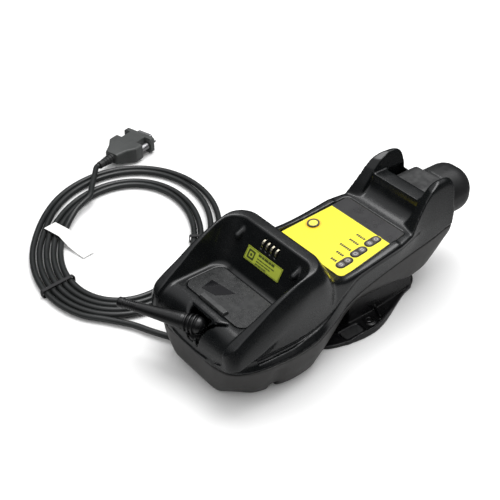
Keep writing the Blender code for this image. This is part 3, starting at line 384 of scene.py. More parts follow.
def upper_mass(b):
    """Tub, deck, ears and bay walls, with the bay hollowed out, as a wall of even thickness."""
    body = hull(b, upper_half, NOSE_Y, TAIL_Y)
    body = soften(body, b.voxel, 1.3)
    body = carve(body, tail_valley(b), 3.0)
    body = join(body, bay_block(b), 2.2)
    body = np.maximum(body, NOSE_Y - 0.5 - b.y)
    cavity = meet(bay_plan(b, 0), floor_height(b) - b.z, 3.0)
    cavity = carve(cavity, capsule(b, *BAY_PEG, 2.9), 1.2)
    body = unit_speed(carve(body, cavity, 1.0), b.voxel)
    return pierce(body, body + WALL)


def carve_nose(body, b):
    """Side grooves, the angled slot and the antenna's notch."""
    crease = np.hypot(b.side - along(WAIST_W, b.y) - 0.7, b.z - crease_height(b.y) - 0.2)
    width = 1.35 + 0.85 * ease((-44 - b.y) / 20)
    body = carve(body, np.maximum(crease - width, slab(b.y, *CREASE_SPAN)), 0.6)
    start, bend, end = SLOT_PATH
    slot = np.minimum(segment(b.x, b.y, start, bend) - 1.2, segment(b.x, b.y, bend, end) - 1.9)
    body = carve(body, np.maximum(slot, SLOT_FLOOR_Z - b.z), 0.7)
    swivel = np.hypot(b.x - SWIVEL[0], b.y - SWIVEL[1])
    dish = (swivel - NOTCH_R - 0.75 * np.maximum(b.z - 48.5, 0)) * 0.8
    dish = np.maximum(dish, b.y - SWIVEL[1] - 4.5)
    return carve(body, np.maximum(dish, NOTCH_FLOOR_Z - b.z), 1.6)


def carve_deck(body, b):
    """Label recess and the openings for the lamp and the windows."""
    recess = np.abs(b.z - deck_height(b.y) - 1.3) - 2
    body = carve(body, np.maximum(label_plan(b, -0.2), recess), 0.5)
    lamp = np.hypot(b.x - LAMP_XY[0], b.y - LAMP_XY[1]) - LAMP_R - 0.4
    for plan in [lamp] + [pill(b, x, y, 0.4) for x, y in window_places()]:
        body = pierce(body, np.maximum(plan, 50 - b.z))
    return body


def carve_bay(body, b):
    """Seats of the floor plate and the sensing bar, and the four contact slits."""
    half, front, rear = FLOOR_PLATE
    plate = round_box(b.x, b.y - (front + rear) / 2, half + 0.35, (rear - front) / 2 + 0.35, 7.3)
    body = pierce(body, np.maximum(plate, slab(b.z, BAY_FLOOR_Z - 2.5, BAY_FLOOR_Z + 4)))
    bar = round_box(b.x, b.y - BAR_Y, 14.0, 2.8, 0.5)
    body = pierce(body, np.maximum(bar, slab(b.z, 50, 62)))
    for k in range(4):
        across, up, out = wall_frame(b, CONTACT_MID_Z, (k - 1.5) * CONTACT_PITCH)
        body = pierce(body, np.maximum(round_box(across, up, 1.25, 4.1, 0.6), slab(out, -6, 3)))
    return body


def upper_field(b):
    body = carve_bay(carve_deck(carve_nose(upper_mass(b), b), b), b)
    body = carve(body, battery_bore(b), 0.8)
    body = carve(body, np.maximum(round_box(b.x, b.y - 115, EAR_INNER - 0.3, 22, 5), EAR_LEDGE_Z - b.z), 1.6)
    return meet(body, along(PARTING_Z, b.y) + SEAM / 2 - b.z, 0.9)


# ------------------------------------------------------------------ lower shell
def lower_half(y):
    part, base = along(PARTING_Z, y), along(BOTTOM_Z, y)
    wide, narrow = along(PARTING_W, y), along(BOTTOM_W, y)
    bulge = narrow + 0.72 * (wide - narrow)
    return [(0, base, 0), (narrow - 3, base, 2), (narrow, base + 2.5, 3), (bulge, base + 0.5 * (part - base), 6),
            (wide - 0.2, part, 0), (wide - 0.2, part + 5, 0), (0, part + 5, 0)]


def turned_box(b, x, y, angle, *sizes):
    """Rounded rectangle in plan about a point, turned by an angle."""
    c, s = math.cos(angle), math.sin(angle)
    return round_box((b.x - x) * c + (b.y - y) * s, -(b.x - x) * s + (b.y - y) * c, *sizes)


def lower_field(b):
    body = soften(hull(b, lower_half, NOSE_Y + 0.5, TAIL_Y), b.voxel, 1.5)
    body = carve(body, capsule(b, *BASE_FLUTE, 4.2), 6.0)
    body = unit_speed(body, b.voxel)
    body = pierce(body, body + WALL)
    recess = round_box(b.x, b.y + 74, 27, 16, 2)
    solid = np.maximum(np.maximum(recess - WALL, b.z - 20.4), 1.2 - b.z)
    body = np.minimum(body, np.maximum(solid, lower_inside(b)))
    body = carve(body, np.maximum(recess, b.z - 18), 0.6)
    for channel in (round_box(b.x - 40, b.y + 76, 20, 4, 1),
                    turned_box(b, -30, -93, math.radians(35), 26, 4, 1)):
        body = carve(body, np.maximum(channel, b.z - CHANNEL_TOP_Z), 0.8)
    for x, wide, tall in SOCKET_HOLES:
        hole = round_box(b.x - x, b.z - 4 - tall / 2, wide / 2 + 0.4, tall / 2 + 0.4, 0.6)
        body = pierce(body, np.maximum(hole, slab(b.y, -60, -50)))
    for x, y in CASE_SCREWS:
        sink = np.maximum(np.hypot(b.side - x, b.y - y) - 3.3, b.z - float(along(BOTTOM_Z, y)) - 3.2)
        body = carve(body, sink, 0.5)
    body = carve(body, battery_bore(b), 0.8)
    return meet(body, b.z - along(PARTING_Z, b.y) + SEAM / 2, 0.9)


def lower_inside(b):
    """Keeps what is added inside the lower shell within its outline."""
    return np.maximum(b.side - along(BOTTOM_W, b.y), slab(b.y, -110, 110))


# ------------------------------------------------------------------ bracket and battery cap
BRACKET_OUTLINE = ((0, -22), (31, -22), (37, -17), (41, -6), (44.5, 10), (44.8, 24), (42, 36), (36, 50), (27, 69),
                   (21, 87), (14, 95), (0, 95))
BRACKET_HOLE = (34.0, 28.0, 2.3)


def bracket_field(b):
    line = rounded([(x, y, 0 if x == 0 else 9) for x, y in BRACKET_OUTLINE])
    ys = b.y[0, :, 0]
    plan = slice_distance(line, b.side[:, 0, 0], ys)[:, :, None]
    body = meet(plan, slab(b.z, 0, 2.6), 0.8)
    lip_top = 2.6 + 3.0 * ease((b.y + 2) / 14) * ease((60 - b.y) / 20)
    lip = np.maximum(np.abs(plan + 1.3) - 1.1, slab(b.z, 0, lip_top))
    body = join(body, lip, 1.0)
    top = along(BOTTOM_Z, b.y) - 0.6
    half = np.minimum(24.0, along(BOTTOM_W, b.y) - 7) + 2 * np.clip((top - b.z) / 15, 0, 1)
    seat = np.maximum(np.maximum(b.side - half, slab(b.z, 0, top)), slab(b.y, 14, 84))
    body = join(body, seat, 2.0)
    pad = np.abs(round_box(b.side - 36, b.y - 8, 6.2, 11, 3)) - 0.6
    body = join(body, np.maximum(pad, slab(b.z, 0, 3.6)), 0.6)
    rib = segment(b.side, b.y, (26, 41), (37, 36)) - 0.7
    body = join(body, np.maximum(rib, slab(b.z, 0, 6.0)), 0.8)
    boss = np.hypot(b.side - BRACKET_HOLE[0], b.y - BRACKET_HOLE[1])
    body = join(body, np.maximum(boss - 4.6, slab(b.z, 0, 3.6)), 0.8)
    hollow = np.maximum(round_box(b.x, b.y - 49, 18, 29, 4), b.z - 12)
    body = carve(body, hollow, 0.6)
    return carve(body, np.maximum(boss - BRACKET_HOLE[2], b.z - 30), 0.5)


def cap_field(b):
    size = BATTERY_HALF + 0.4
    body = round_box(b.x, b.z - BATTERY_Z + 1.6, size, size - 1.0, 17.5)
    body = meet(body, b.y - CAP_END_Y, 15)
    body = meet(body, CAP_FRONT_Y - b.y, 1.2)
    groove = np.abs(b.y - CAP_FRONT_Y - 4.5) - 0.35
    return np.maximum(body, -np.maximum(groove, -(body + 0.8)))


# ------------------------------------------------------------------ turned pieces and tubes
def ringed(name, rings, sides):
    """Closed solid through round rings, each given as (middle, across, other, radius)."""
    bm = bmesh.new()
    angles = [2 * math.pi * k / sides for k in range(sides)]
    rings = [[bm.verts.new((middle + (across * math.cos(a) + other * math.sin(a)) * radius) * MM)
              for a in angles] for middle, across, other, radius in rings]
    for ring, after in zip(rings, rings[1:]):
        for i in range(sides):
            j = (i + 1) % sides
            bm.faces.new((ring[i], ring[j], after[j], after[i]))
    bm.faces.new(rings[0][::-1])
    bm.faces.new(rings[-1])
    bmesh.ops.recalc_face_normals(bm, faces=bm.faces)
    return mesh_piece(name, bm)


def revolve(name, profile, origin, direction, sides=56):
    """Closed turned solid; profile is (distance along, radius) from end to end."""
    axis = Vector(direction).normalized()
    across = axis.cross(Vector((0, 0, 1)) if abs(axis.z) < 0.9 else Vector((1, 0, 0))).normalized()
    other = axis.cross(across)
    return ringed(name, [(Vector(origin) + axis * s, across, other, max(r, 0.02)) for s, r in profile], sides)


def mesh_piece(name, bm, smooth=True):
    mesh = bpy.data.meshes.new(name)
    bm.to_mesh(mesh)
    bm.free()
    if smooth:
        mesh.shade_smooth()
    obj = bpy.data.objects.new(name, mesh)
    bpy.context.scene.collection.objects.link(obj)
    return obj


def smooth_profile(points, steps=4):
    """Turned profile whose corners are eased into short arcs."""
    line = [points[0]]
    for before, here, after in zip(points, points[1:], points[2:]):
        b, h, a = map(np.array, (before, here, after))
        reach = 0.35 * min(np.linalg.norm(b - h), np.linalg.norm(a - h), 2.0)
        start = h + (b - h) / np.linalg.norm(b - h) * reach
        end = h + (a - h) / np.linalg.norm(a - h) * reach
        for t in np.linspace(0, 1, steps):
            line.append(tuple((1 - t)**2 * start + 2 * t * (1 - t) * h + t * t * end))
    return line + [points[-1]]


ANTENNA_YAW, ANTENNA_LEN = math.radians(27.5), 63.0


def build_antenna():
    """Ball root around the tilt pin, bold rings, a long taper, fine rings and a hollow knob at the tip."""
    ball = 6.6
    profile = [(-ball * math.cos(a), max(ball * math.sin(a), 0.1)) for a in np.radians(range(0, 95, 12))]
    for k in range(3):
        start, out = 0.9 + 3.2 * k, 7.4 - 0.3 * k
        profile += [(start, out - 1.5), (start + 0.6, out - 0.1), (start + 1.2, out), (start + 1.8, out - 0.1),
                    (start + 2.4, out - 1.5)]
    profile += [(11.4, 6.2), (20, 5.5), (30, 4.8), (44, 4.0), (47, 3.85)]
    for k in range(5):
        start = 47.6 + 1.7 * k
        profile += [(start, 3.9 - 0.08 * k), (start + 0.3, 3.4), (start + 0.9, 3.4),
                    (start + 1.2, 3.85 - 0.08 * k)]
    end = ANTENNA_LEN
    profile += [(end - 5.2, 3.3), (end - 4.6, 3.9), (end - 0.8, 3.9), (end - 0.1, 3.3), (end - 0.1, 2.4),
                (end - 1.4, 2.2), (end - 1.4, 0.1)]
    direction = (-math.cos(ANTENNA_YAW), -math.sin(ANTENNA_YAW), 0)
    whip = revolve("antenna_sleeve", smooth_profile(profile), SWIVEL, direction)
    base = [(-12.0, 0.1), (-12.0, 5.6), (-11.2, 6.4), (-7.6, 6.4), (-6.4, 5.4), (-4.4, 4.6), (-4.4, 0.1)]
    turret = revolve("antenna_turret", smooth_profile(base), SWIVEL, (0, 0, 1))
    return whip, turret


# ------------------------------------------------------------------ cable
CABLE_R, CABLE_REST = 2.5, 3.4
COIL_CENTRE, COIL_TILT = (-168.0, -60.0), math.radians(141.5)
COIL_OUTER, COIL_INNER = (104.0, 78.0), (79.0, 53.0)
COIL_START, COIL_TURNS = math.radians(177), 4.367
CONNECTOR_XY, CONNECTOR_YAW, CONNECTOR_Z = (-290.0, 36.0), math.radians(16.0), 9.0
HOOD_LENGTH = 42.0
PLUG_X, PLUG_Z = -14.0, 10.1


def coil_point(turn):
    """Point of the flat spiral, which winds clockwise and inwards from its outer end."""
    share = turn / COIL_TURNS
    a = COIL_OUTER[0] + (COIL_INNER[0] - COIL_OUTER[0]) * share
    b = COIL_OUTER[1] + (COIL_INNER[1] - COIL_OUTER[1]) * share
    angle = COIL_START - 2 * math.pi * turn
    px, py = a * math.cos(angle), b * math.sin(angle)
    loose = 11.0 * float(ease(turn / 0.35) * (1 - ease((turn - 1.5) / 0.6)))
    c, s = math.cos(COIL_TILT), math.sin(COIL_TILT)
    away = max(0.0, math.cos(math.atan2(s * px + c * py, c * px - s * py) - math.radians(128)))
    px, py = px * (1 + loose * away / 100), py * (1 + loose * away / 80)
    lift = float(ease((turn - COIL_TURNS + 0.12) / 0.12)) * (2 * CABLE_R + 1.0)
    return (COIL_CENTRE[0] + c * px - s * py, COIL_CENTRE[1] + s * px + c * py, CABLE_REST + lift)


def connector_place(x, y, z=0.0):
    """World place of a point in the connector's frame: X across, Y towards its mate."""
    c, s = math.cos(CONNECTOR_YAW), math.sin(CONNECTOR_YAW)
    return (CONNECTOR_XY[0] + c * x - s * y, CONNECTOR_XY[1] + s * x + c * y, CONNECTOR_Z + z)


def cable_path():
    lead = [(PLUG_X, -70.6, PLUG_Z), (PLUG_X, -77, 9.4), (-15.5, -82, 7.6), (-20, -86.6, 5.8),
            (-29, -92.4, 4.4), (-40, -100, 3.6), (-56, -108.6, CABLE_REST), (-72, -116, CABLE_REST)]
    count = int(COIL_TURNS * 24)
    coil = [coil_point(COIL_TURNS * k / count) for k in range(count + 1)]
    end = connector_place(0, -HOOD_LENGTH - 17.5)
    before = connector_place(0, -HOOD_LENGTH - 21.0)
    x, y, z = coil[-1]
    bridge = [(x + (before[0] - x) * t, y + (before[1] - y) * t, z + (before[2] - z) * t)
              for t in (0.25, 0.5, 0.75)]
    return lead + coil + bridge + [before, end]


def flowing(points, steps=4):
    """Catmull-Rom curve through points."""
    p = np.array(points, float)
    p = np.vstack((2 * p[0] - p[1], p, 2 * p[-1] - p[-2]))
    line = []
    for a, b, c, d in zip(p, p[1:], p[2:], p[3:]):
        for t in np.arange(steps) / steps:
            line.append(0.5 * (2 * b + (c - a) * t + (2 * a - 5 * b + 4 * c - d) * t**2
                               + (3 * b - a - 3 * c + d) * t**3))
    return line + [p[-2]]


def tube(name, path, radius, sides=14):
    """Round tube along a path, capped at both ends."""
    path = [Vector(p) for p in path]
    up, rings = Vector((0, 0, 1)), []
    for i, place in enumerate(path):
        ahead = (path[min(i + 1, len(path) - 1)] - path[max(i - 1, 0)]).normalized()
        side = ahead.cross(up).normalized()
        rings.append((place, side, side.cross(ahead), radius))
    return ringed(name, rings, sides)


# ------------------------------------------------------------------ prints
PRINT_T = 0.06


def flat_print(name, outlines, lift, place=None, thick=PRINT_T):
    """Thin ink layer from closed outlines in the plane; an outline inside another is a hole."""
    data = bpy.data.curves.new(name, "CURVE")
    data.dimensions, data.fill_mode, data.extrude = "2D", "BOTH", thick / 2 * MM
    for outline in outlines:
        spline = data.splines.new("POLY")
        spline.points.add(len(outline) - 1)
        for point, (a, b) in zip(spline.points, outline):
            point.co = (a * MM, b * MM, 0, 1)
        spline.use_cyclic_u = True
    curve = bpy.data.objects.new(name, data)
    bpy.context.scene.collection.objects.link(curve)
    bpy.context.view_layer.update()
    mesh = bpy.data.meshes.new_from_object(curve.evaluated_get(bpy.context.evaluated_depsgraph_get()))
    bpy.data.objects.remove(curve)
    bm = bmesh.new()
    bm.from_mesh(mesh)
    bmesh.ops.remove_doubles(bm, verts=bm.verts, dist=1e-6)
    if place is None:
        for v in bm.verts:
            v.co.z += (deck_height(v.co.y / MM) + lift + thick / 2) * MM
    else:
        bm.transform(place @ Matrix.Translation((0, 0, (lift + thick / 2) * MM)))
    bmesh.ops.recalc_face_normals(bm, faces=bm.faces)
    bpy.data.meshes.remove(mesh)
    return mesh_piece(name, bm, smooth=False)


def round_rect(x, y, half_x, half_y, radius, steps=8):
    points = []
    for sx, sy, start in ((1, 1, 0), (-1, 1, 90), (-1, -1, 180), (1, -1, 270)):
        cx, cy = x + sx * (half_x - radius), y + sy * (half_y - radius)
        for k in range(steps + 1):
            a = math.radians(start + 90 * k / steps)
            points.append((cx + radius * math.cos(a), cy + radius * math.sin(a)))
    return points


def circle(x, y, radius, sides=40):
    return [(x + radius * math.cos(2 * math.pi * k / sides), y + radius * math.sin(2 * math.pi * k / sides))
            for k in range(sides)]


def pill_outline(x, y, grow):
    half_x, half_y = WINDOW_SIZE[0] / 2 + grow, WINDOW_SIZE[1] / 2 + grow
    return round_rect(x, y, half_x, half_y, half_x - 0.01, 10)


def panel_outline(front, rear, inset, corner):
    """Label field between two y values, following the label's taper, with rounded front corners."""
    def half(y):
        return np.interp(y, (-7.5, 0, 60.5), (35.9, 35.6, 31.3)) - inset
    points = [(half(rear), rear), (-half(rear), rear)]
    for side, angles in ((-1, range(180, 271, 10)), (1, range(270, 361, 10))):
        for a in angles:
            cx, cy = side * (half(front + corner) - corner), front + corner
            points.append((cx + corner * math.cos(math.radians(a)), cy + corner * math.sin(math.radians(a))))
    return points


def dashes(x, y, widths, height):
    """A row of small blocks that stands for a printed caption."""
    blocks, at = [], x
    for wide in widths:
        blocks.append([(at, y), (at + wide, y), (at + wide, y + height), (at, y + height)])
        at += wide + 0.45
    return blocks


CAPTION_Y, CAPTION_HEIGHT = (2.8, 10.4, 18.1, 26.5, 33.8), 2.0
CAPTION_WIDTHS = ((1.6, 1.5, 1.5), (1.6, 1.5, 1.5, 1.4), (1.6, 1.4, 1.6, 1.5, 1.4, 1.5), (1.5, 1.4, 1.6, 1.5, 1.4),
                  (1.5, 1.6, 1.4, 1.0, 1.6))


SIGHT_CORNERS = ((-20.5, -87.9), (-7.4, -85.4), (-0.2, -73.2), (-23.2, -76.8))


def build_prints():
    prints = {}
    openings = [circle(*LAMP_XY, LAMP_R + 1.0)] + [pill_outline(x, y, 0.75) for x, y in window_places()]
    yellow, grey = panel_outline(-6.2, 44.6, 0.9, 4.2), panel_outline(45.6, 60.0, 0.5, 0.3)
    prints["label_yellow_field"] = flat_print("label_yellow_field", [yellow] + openings, 0.02)
    prints["label_grey_field"] = flat_print("label_grey_field", [grey], 0.02)
    marks = []
    for y, widths in zip(CAPTION_Y, CAPTION_WIDTHS):
        total = sum(widths) + 0.45 * (len(widths) - 1)
        marks += dashes(19.3 - 0.1 * y - total, y, widths, CAPTION_HEIGHT)
    bezel = [circle(*LAMP_XY, LAMP_R + 1.1), circle(*LAMP_XY, LAMP_R - 0.1)]
    prints["lamp_bezel"] = flat_print("lamp_bezel", bezel, 0.0, thick=1.0)
    prints["label_captions"] = flat_print("label_captions", marks, 0.02 + PRINT_T)
    discs, icons = [], []
    for k, (x, y) in enumerate(window_places()):
        for side in (-1, 1):
            cy = y + side * 3.2
            discs.append(circle(x, cy, 2.55))
            ring = (k + (side > 0)) % 2
            if ring:
                icons += [circle(x, cy, 1.5, 24), circle(x, cy, 1.0, 24)]
            else:
                icons += [round_rect(x, cy, 1.4, 1.0, 0.2, 3), round_rect(x, cy, 0.8, 0.45, 0.1, 3)]
    prints["window_discs"] = flat_print("window_discs", discs, 0.32)
    prints["window_icons"] = flat_print("window_icons", icons, 0.33 + PRINT_T)
    on_plate = Matrix.Translation((0, 0, BAY_FLOOR_Z * MM))
    prints["bay_sight_window"] = flat_print("bay_sight_window", [SIGHT_CORNERS], 0.0, on_plate, 0.12)
    return prints


def wall_matrix(z_mid, x=0.0, out=0.0):
    """Place on the bay's back wall: local X across, local Y up the wall, local Z into the bay."""
    up = Vector((0, math.cos(BAY_WALL_TILT), math.sin(BAY_WALL_TILT)))
    normal = Vector((1, 0, 0)).cross(up)
    lean = (z_mid - BAY_FLOOR_Z) / math.tan(BAY_WALL_TILT)
    place = Vector((x, BAY_REAR_Y + lean, z_mid)) + normal * out
    turn = Matrix((Vector((1, 0, 0)), up, normal)).transposed().to_4x4()
    return Matrix.Translation(place * MM) @ turn


def build_notice_print():
    """Plain block pictogram and dashes on the notice."""
    place = wall_matrix(NOTICE_MID_Z, out=0.60)
    square = [round_rect(-13.2, 0, 3.6, 3.4, 0.8, 4), round_rect(-13.2, 0, 2.2, 2.0, 0.5, 4)]
    rows = dashes(-6.5, 2.2, (3.4, 2.2, 4.0, 2.6, 3.2), 1.7)
    for y, widths in ((-0.2, (2.0, 3.2, 1.4, 4.2, 2.4, 3.0)), (-2.2, (3.2, 1.6, 2.8, 3.8, 2.0)),
                      (-4.1, (2.4, 3.6, 1.8, 2.6))):
        rows += dashes(-6.5, y, widths, 0.8)
    border = [round_rect(0, 0, 18.6, 4.7, 0.4, 2), round_rect(0, 0, 18.3, 4.4, 0.4, 2)]
    return flat_print("notice_marks", square + [circle(-13.2, 0, 1.1, 20)] + rows + border, 0.0, place)


# ------------------------------------------------------------------ materials
class Nodes:
    """Short helper for building one material's node tree."""

    def __init__(self, name):
        self.mat = bpy.data.materials.new(name)
        self.mat.use_nodes = True
        self.tree = self.mat.node_tree
        self.shader = self.tree.nodes["Principled BSDF"]
        self.place = self.add("ShaderNodeTexCoord").outputs["Object"]

    def add(self, kind, **settings):
        node = self.tree.nodes.new(kind)
        for key, value in settings.items():
            setattr(node, key, value)
        return node

    def link(self, source, target):
        self.tree.links.new(source, target)

    def feed(self, socket, value):
        if isinstance(value, bpy.types.NodeSocket):
            self.link(value, socket)
        else:
            socket.default_value = value

    def noise(self, scale, detail=3.0, distortion=0.0, stretch=None):
        node = self.add("ShaderNodeTexNoise")
        place = self.place
        if stretch:
            mapping = self.add("ShaderNodeMapping")
            mapping.inputs["Scale"].default_value = stretch
            self.link(place, mapping.inputs["Vector"])
            place = mapping.outputs["Vector"]
        self.link(place, node.inputs["Vector"])
        node.inputs["Scale"].default_value = scale
        node.inputs["Detail"].default_value = detail
        node.inputs["Distortion"].default_value = distortion
        return node.outputs["Fac"]

    def ramp(self, value, low, high, to_low=0.0, to_high=1.0):
        node = self.add("ShaderNodeMapRange")
        node.interpolation_type = "SMOOTHSTEP"
        for key, number in (("From Min", low), ("From Max", high), ("To Min", to_low), ("To Max", to_high)):
            node.inputs[key].default_value = number
        self.feed(node.inputs["Value"], value)
        return node.outputs["Result"]

    def math(self, operation, a, b=0.0):
        node = self.add("ShaderNodeMath", operation=operation)
        self.feed(node.inputs[0], a)
        self.feed(node.inputs[1], b)
        return node.outputs[0]

    def mix(self, factor, a, b):
        node = self.add("ShaderNodeMix", data_type="RGBA")
        self.feed(node.inputs["Factor"], factor)
        self.feed(node.inputs[6], a if isinstance(a, bpy.types.NodeSocket) else (*a, 1))
        self.feed(node.inputs[7], b if isinstance(b, bpy.types.NodeSocket) else (*b, 1))
        return node.outputs[2]

    def bump(self, height, strength, distance, under=None):
        node = self.add("ShaderNodeBump")
        node.inputs["Strength"].default_value = strength
        node.inputs["Distance"].default_value = distance
        self.feed(node.inputs["Height"], height)
        if under is not None:
            self.link(under, node.inputs["Normal"])
        return node.outputs["Normal"]


def surface(name, colour, rough, metallic=0.0, grain=0.25, grain_scale=1400, spread=0.1, dust=0.1,
            edge_wear_and_highlight=0.0, scratches=0.0, tone=None, sheen=0.0, painted_glow=None):
    """Moulded or printed surface: fine grain, uneven gloss, faint dust, edges lightened as rubbed wear and painted
    highlight, and an optional painted glow round a point.
    """
    n = Nodes(name)
    patchy = n.noise(38, 4, 0.6)
    fine = n.noise(260, 3)
    tone = tone or tuple(min(1, c * 1.35 + 0.002) for c in colour)
    base = n.mix(n.ramp(patchy, 0.35, 0.7, 0, 0.5), colour, tone)
    if dust:
        specks = n.math("MULTIPLY", n.ramp(n.noise(1900, 1), 0.66, 0.74), n.ramp(n.noise(60, 2), 0.45, 0.65))
        base = n.mix(n.math("MULTIPLY", specks, dust), base, (0.45, 0.43, 0.4))
    if edge_wear_and_highlight:
        # Convex edges lightened by Pointiness: partly rubbed wear, partly a painted highlight along rims and
        # edges.
        point = n.add("ShaderNodeNewGeometry").outputs["Pointiness"]
        rubbed_and_highlit = n.math("MULTIPLY", n.ramp(point, 0.52, 0.62), n.ramp(fine, 0.3, 0.7, 0.4, 1.0))
        base = n.mix(n.math("MULTIPLY", rubbed_and_highlit, edge_wear_and_highlight), base, (0.2, 0.2, 0.2))
    # Orange tint fading out from a point: the status lamp's light spilling onto the label, a painted glow.
    if painted_glow:
        centre, near, far, amount, tint = painted_glow
        gap = n.add("ShaderNodeVectorMath", operation="DISTANCE")
        n.link(n.place, gap.inputs[0])
        gap.inputs[1].default_value = centre
        base = n.mix(n.ramp(gap.outputs["Value"], near, far, amount, 0.0), base, tint)
    gloss = n.math("ADD", n.ramp(patchy, 0.3, 0.7, rough - spread / 2, rough + spread / 2),
                   n.ramp(fine, 0.3, 0.7, -spread / 4, spread / 4))
    height = n.noise(grain_scale, 2)
    normal = n.bump(height, grain, 0.00006)
    if scratches:
        lines = n.ramp(n.noise(240, 2, 0.2, (1.0, 9.0, 3.0)), 0.62, 0.66)
        normal = n.bump(lines, scratches, 0.00003, normal)
        gloss = n.math("ADD", gloss, n.math("MULTIPLY", lines, 0.08))
    n.feed(n.shader.inputs["Base Color"], base)
    n.feed(n.shader.inputs["Roughness"], gloss)
    n.feed(n.shader.inputs["Normal"], normal)
    n.shader.inputs["Metallic"].default_value = metallic
    if sheen:
        n.shader.inputs["Sheen Weight"].default_value = sheen
        n.shader.inputs["Sheen Roughness"].default_value = 0.5
    return n.mat


def lens(name, colour, glow=0.0):
    """Translucent moulded lens with a faint inner glow."""
    n = Nodes(name)
    cells = n.add("ShaderNodeTexVoronoi")
    n.link(n.place, cells.inputs["Vector"])
    cells.inputs["Scale"].default_value = 900
    n.feed(n.shader.inputs["Base Color"], n.mix(n.ramp(cells.outputs["Distance"], 0.0, 0.7), colour,
                                                tuple(c * 0.7 for c in colour)))
    n.feed(n.shader.inputs["Roughness"], n.ramp(n.noise(120), 0.3, 0.7, 0.12, 0.24))
    n.feed(n.shader.inputs["Normal"], n.bump(cells.outputs["Distance"], 0.15, 0.00008))
    n.shader.inputs["Subsurface Weight"].default_value = 0.3
    n.shader.inputs["Subsurface Scale"].default_value = 0.002
    if glow:
        n.shader.inputs["Emission Color"].default_value = (*colour, 1)
        n.shader.inputs["Emission Strength"].default_value = glow
    return n.mat


LOOKS = {
    "shell": lambda: surface("satin_black_moulding", (0.0045, 0.0052, 0.0056), 0.22, grain=0.05,
                             grain_scale=1300, spread=0.09, dust=0.05, edge_wear_and_highlight=0.12, scratches=0.08),
    "plate": lambda: surface("bay_plate_moulding", (0.005, 0.0058, 0.0062), 0.28, grain=0.08, grain_scale=1200,
                             spread=0.05, dust=0.05, edge_wear_and_highlight=0.1, scratches=0.1),
    "base": lambda: surface("satin_grey_base", (0.02, 0.0195, 0.019), 0.36, grain=0.2, grain_scale=1100, dust=0.08,
                            edge_wear_and_highlight=0.15, tone=(0.028, 0.027, 0.026)),
    "bracket": lambda: surface("bracket_moulding", (0.004, 0.004, 0.0045), 0.3, grain=0.15, dust=0.06, edge_wear_and_highlight=0.2),
    "nylon": lambda: surface("black_nylon", (0.010, 0.0105, 0.011), 0.4, grain=0.25, grain_scale=1600, edge_wear_and_highlight=0.15),
    "hood": lambda: surface("hood_moulding", (0.04, 0.043, 0.042), 0.42, grain=0.3, grain_scale=1300, dust=0.1,
                            edge_wear_and_highlight=0.15),
    "rubber": lambda: surface("soft_black_rubber", (0.008, 0.0085, 0.009), 0.42, grain=0.35, grain_scale=1700,
                              spread=0.14, dust=0.1, edge_wear_and_highlight=0.15, sheen=0.02),
    "whip": lambda: surface("antenna_elastomer", (0.004, 0.0042, 0.0046), 0.3, grain=0.15, grain_scale=1500,
                            dust=0.08, edge_wear_and_highlight=0.15),
    "jacket": lambda: surface("cable_jacket", (0.014, 0.0155, 0.0155), 0.34, grain=0.15, grain_scale=1100,
                              dust=0.08),
    "tie": lambda: surface("tie_nylon", (0.012, 0.012, 0.013), 0.5, grain=0.3),
    "yellow": lambda: surface("yellow_ink", (0.90, 0.80, 0.02), 0.38, grain=0.12, grain_scale=900, spread=0.06,
                              dust=0.04, tone=(0.87, 0.76, 0.015),
                              # Painted glow of the status lamp, orange round it on the yellow print.
                              painted_glow=((LAMP_XY[0] * MM, LAMP_XY[1] * MM, deck_height(LAMP_XY[1]) * MM),
                                     0.0045, 0.0085, 0.75, (0.75, 0.33, 0.01))),
    "grey_ink": lambda: surface("grey_ink", (0.011, 0.0108, 0.012), 0.3, grain=0.12, grain_scale=900, dust=0.08),
    "black_ink": lambda: surface("black_ink", (0.02, 0.019, 0.014), 0.42, grain=0.1, dust=0.02),
    "overlay": lambda: surface("overlay_base", (0.03, 0.028, 0.02), 0.4, grain=0.1, dust=0.03),
    "disc_ink": lambda: surface("silver_ink", (0.10, 0.094, 0.09), 0.4, grain=0.2, dust=0.03),
    "icon_ink": lambda: surface("pale_ink", (0.42, 0.40, 0.39), 0.4, grain=0.1, dust=0.0),
    "notice": lambda: surface("olive_notice", (0.33, 0.39, 0.03), 0.4, grain=0.15, dust=0.06,
                              tone=(0.28, 0.33, 0.03)),
    "notice_ink": lambda: surface("notice_ink", (0.045, 0.06, 0.01), 0.45, grain=0.1, dust=0.0),
    "lamp": lambda: lens("pale_amber_lens", (1.0, 0.80, 0.12), 0.25),
    "sight": lambda: surface("sight_window", (0.002, 0.002, 0.003), 0.12, grain=0.02, dust=0.0, spread=0.04),
    "bar": lambda: surface("bar_moulding", (0.012, 0.013, 0.0135), 0.4, grain=0.15, dust=0.05, edge_wear_and_highlight=0.3),
    "window": lambda: lens("smoked_window", (0.05, 0.043, 0.034)),
    "gold": lambda: surface("pale_gold", (0.86, 0.80, 0.62), 0.3, metallic=1.0, grain=0.2, grain_scale=2500,
                            dust=0.0),
    "tin": lambda: surface("tin_plate", (0.62, 0.62, 0.63), 0.3, metallic=1.0, grain=0.3, grain_scale=800,
                           scratches=0.3, dust=0.0),
    "steel": lambda: surface("screw_steel", (0.45, 0.45, 0.46), 0.34, metallic=1.0, grain=0.3, scratches=0.3,
                             dust=0.0),
    "board": lambda: surface("circuit_board", (0.015, 0.13, 0.05), 0.4, grain=0.3, grain_scale=500, dust=0.05),
    "sleeve": lambda: surface("capacitor_sleeve", (0.03, 0.04, 0.14), 0.35, grain=0.1, dust=0.0),
    "paper": lambda: surface("paper_tag", (0.86, 0.86, 0.85), 0.85, grain=0.5, grain_scale=600, dust=0.02,
                             tone=(0.8, 0.8, 0.79)),
}
_made = {}


def look(key):
    if key not in _made:
        _made[key] = LOOKS[key]()
    return _made[key]


def wear_look(obj, key):
    obj.data.materials.clear()
    obj.data.materials.append(look(key))
    return obj


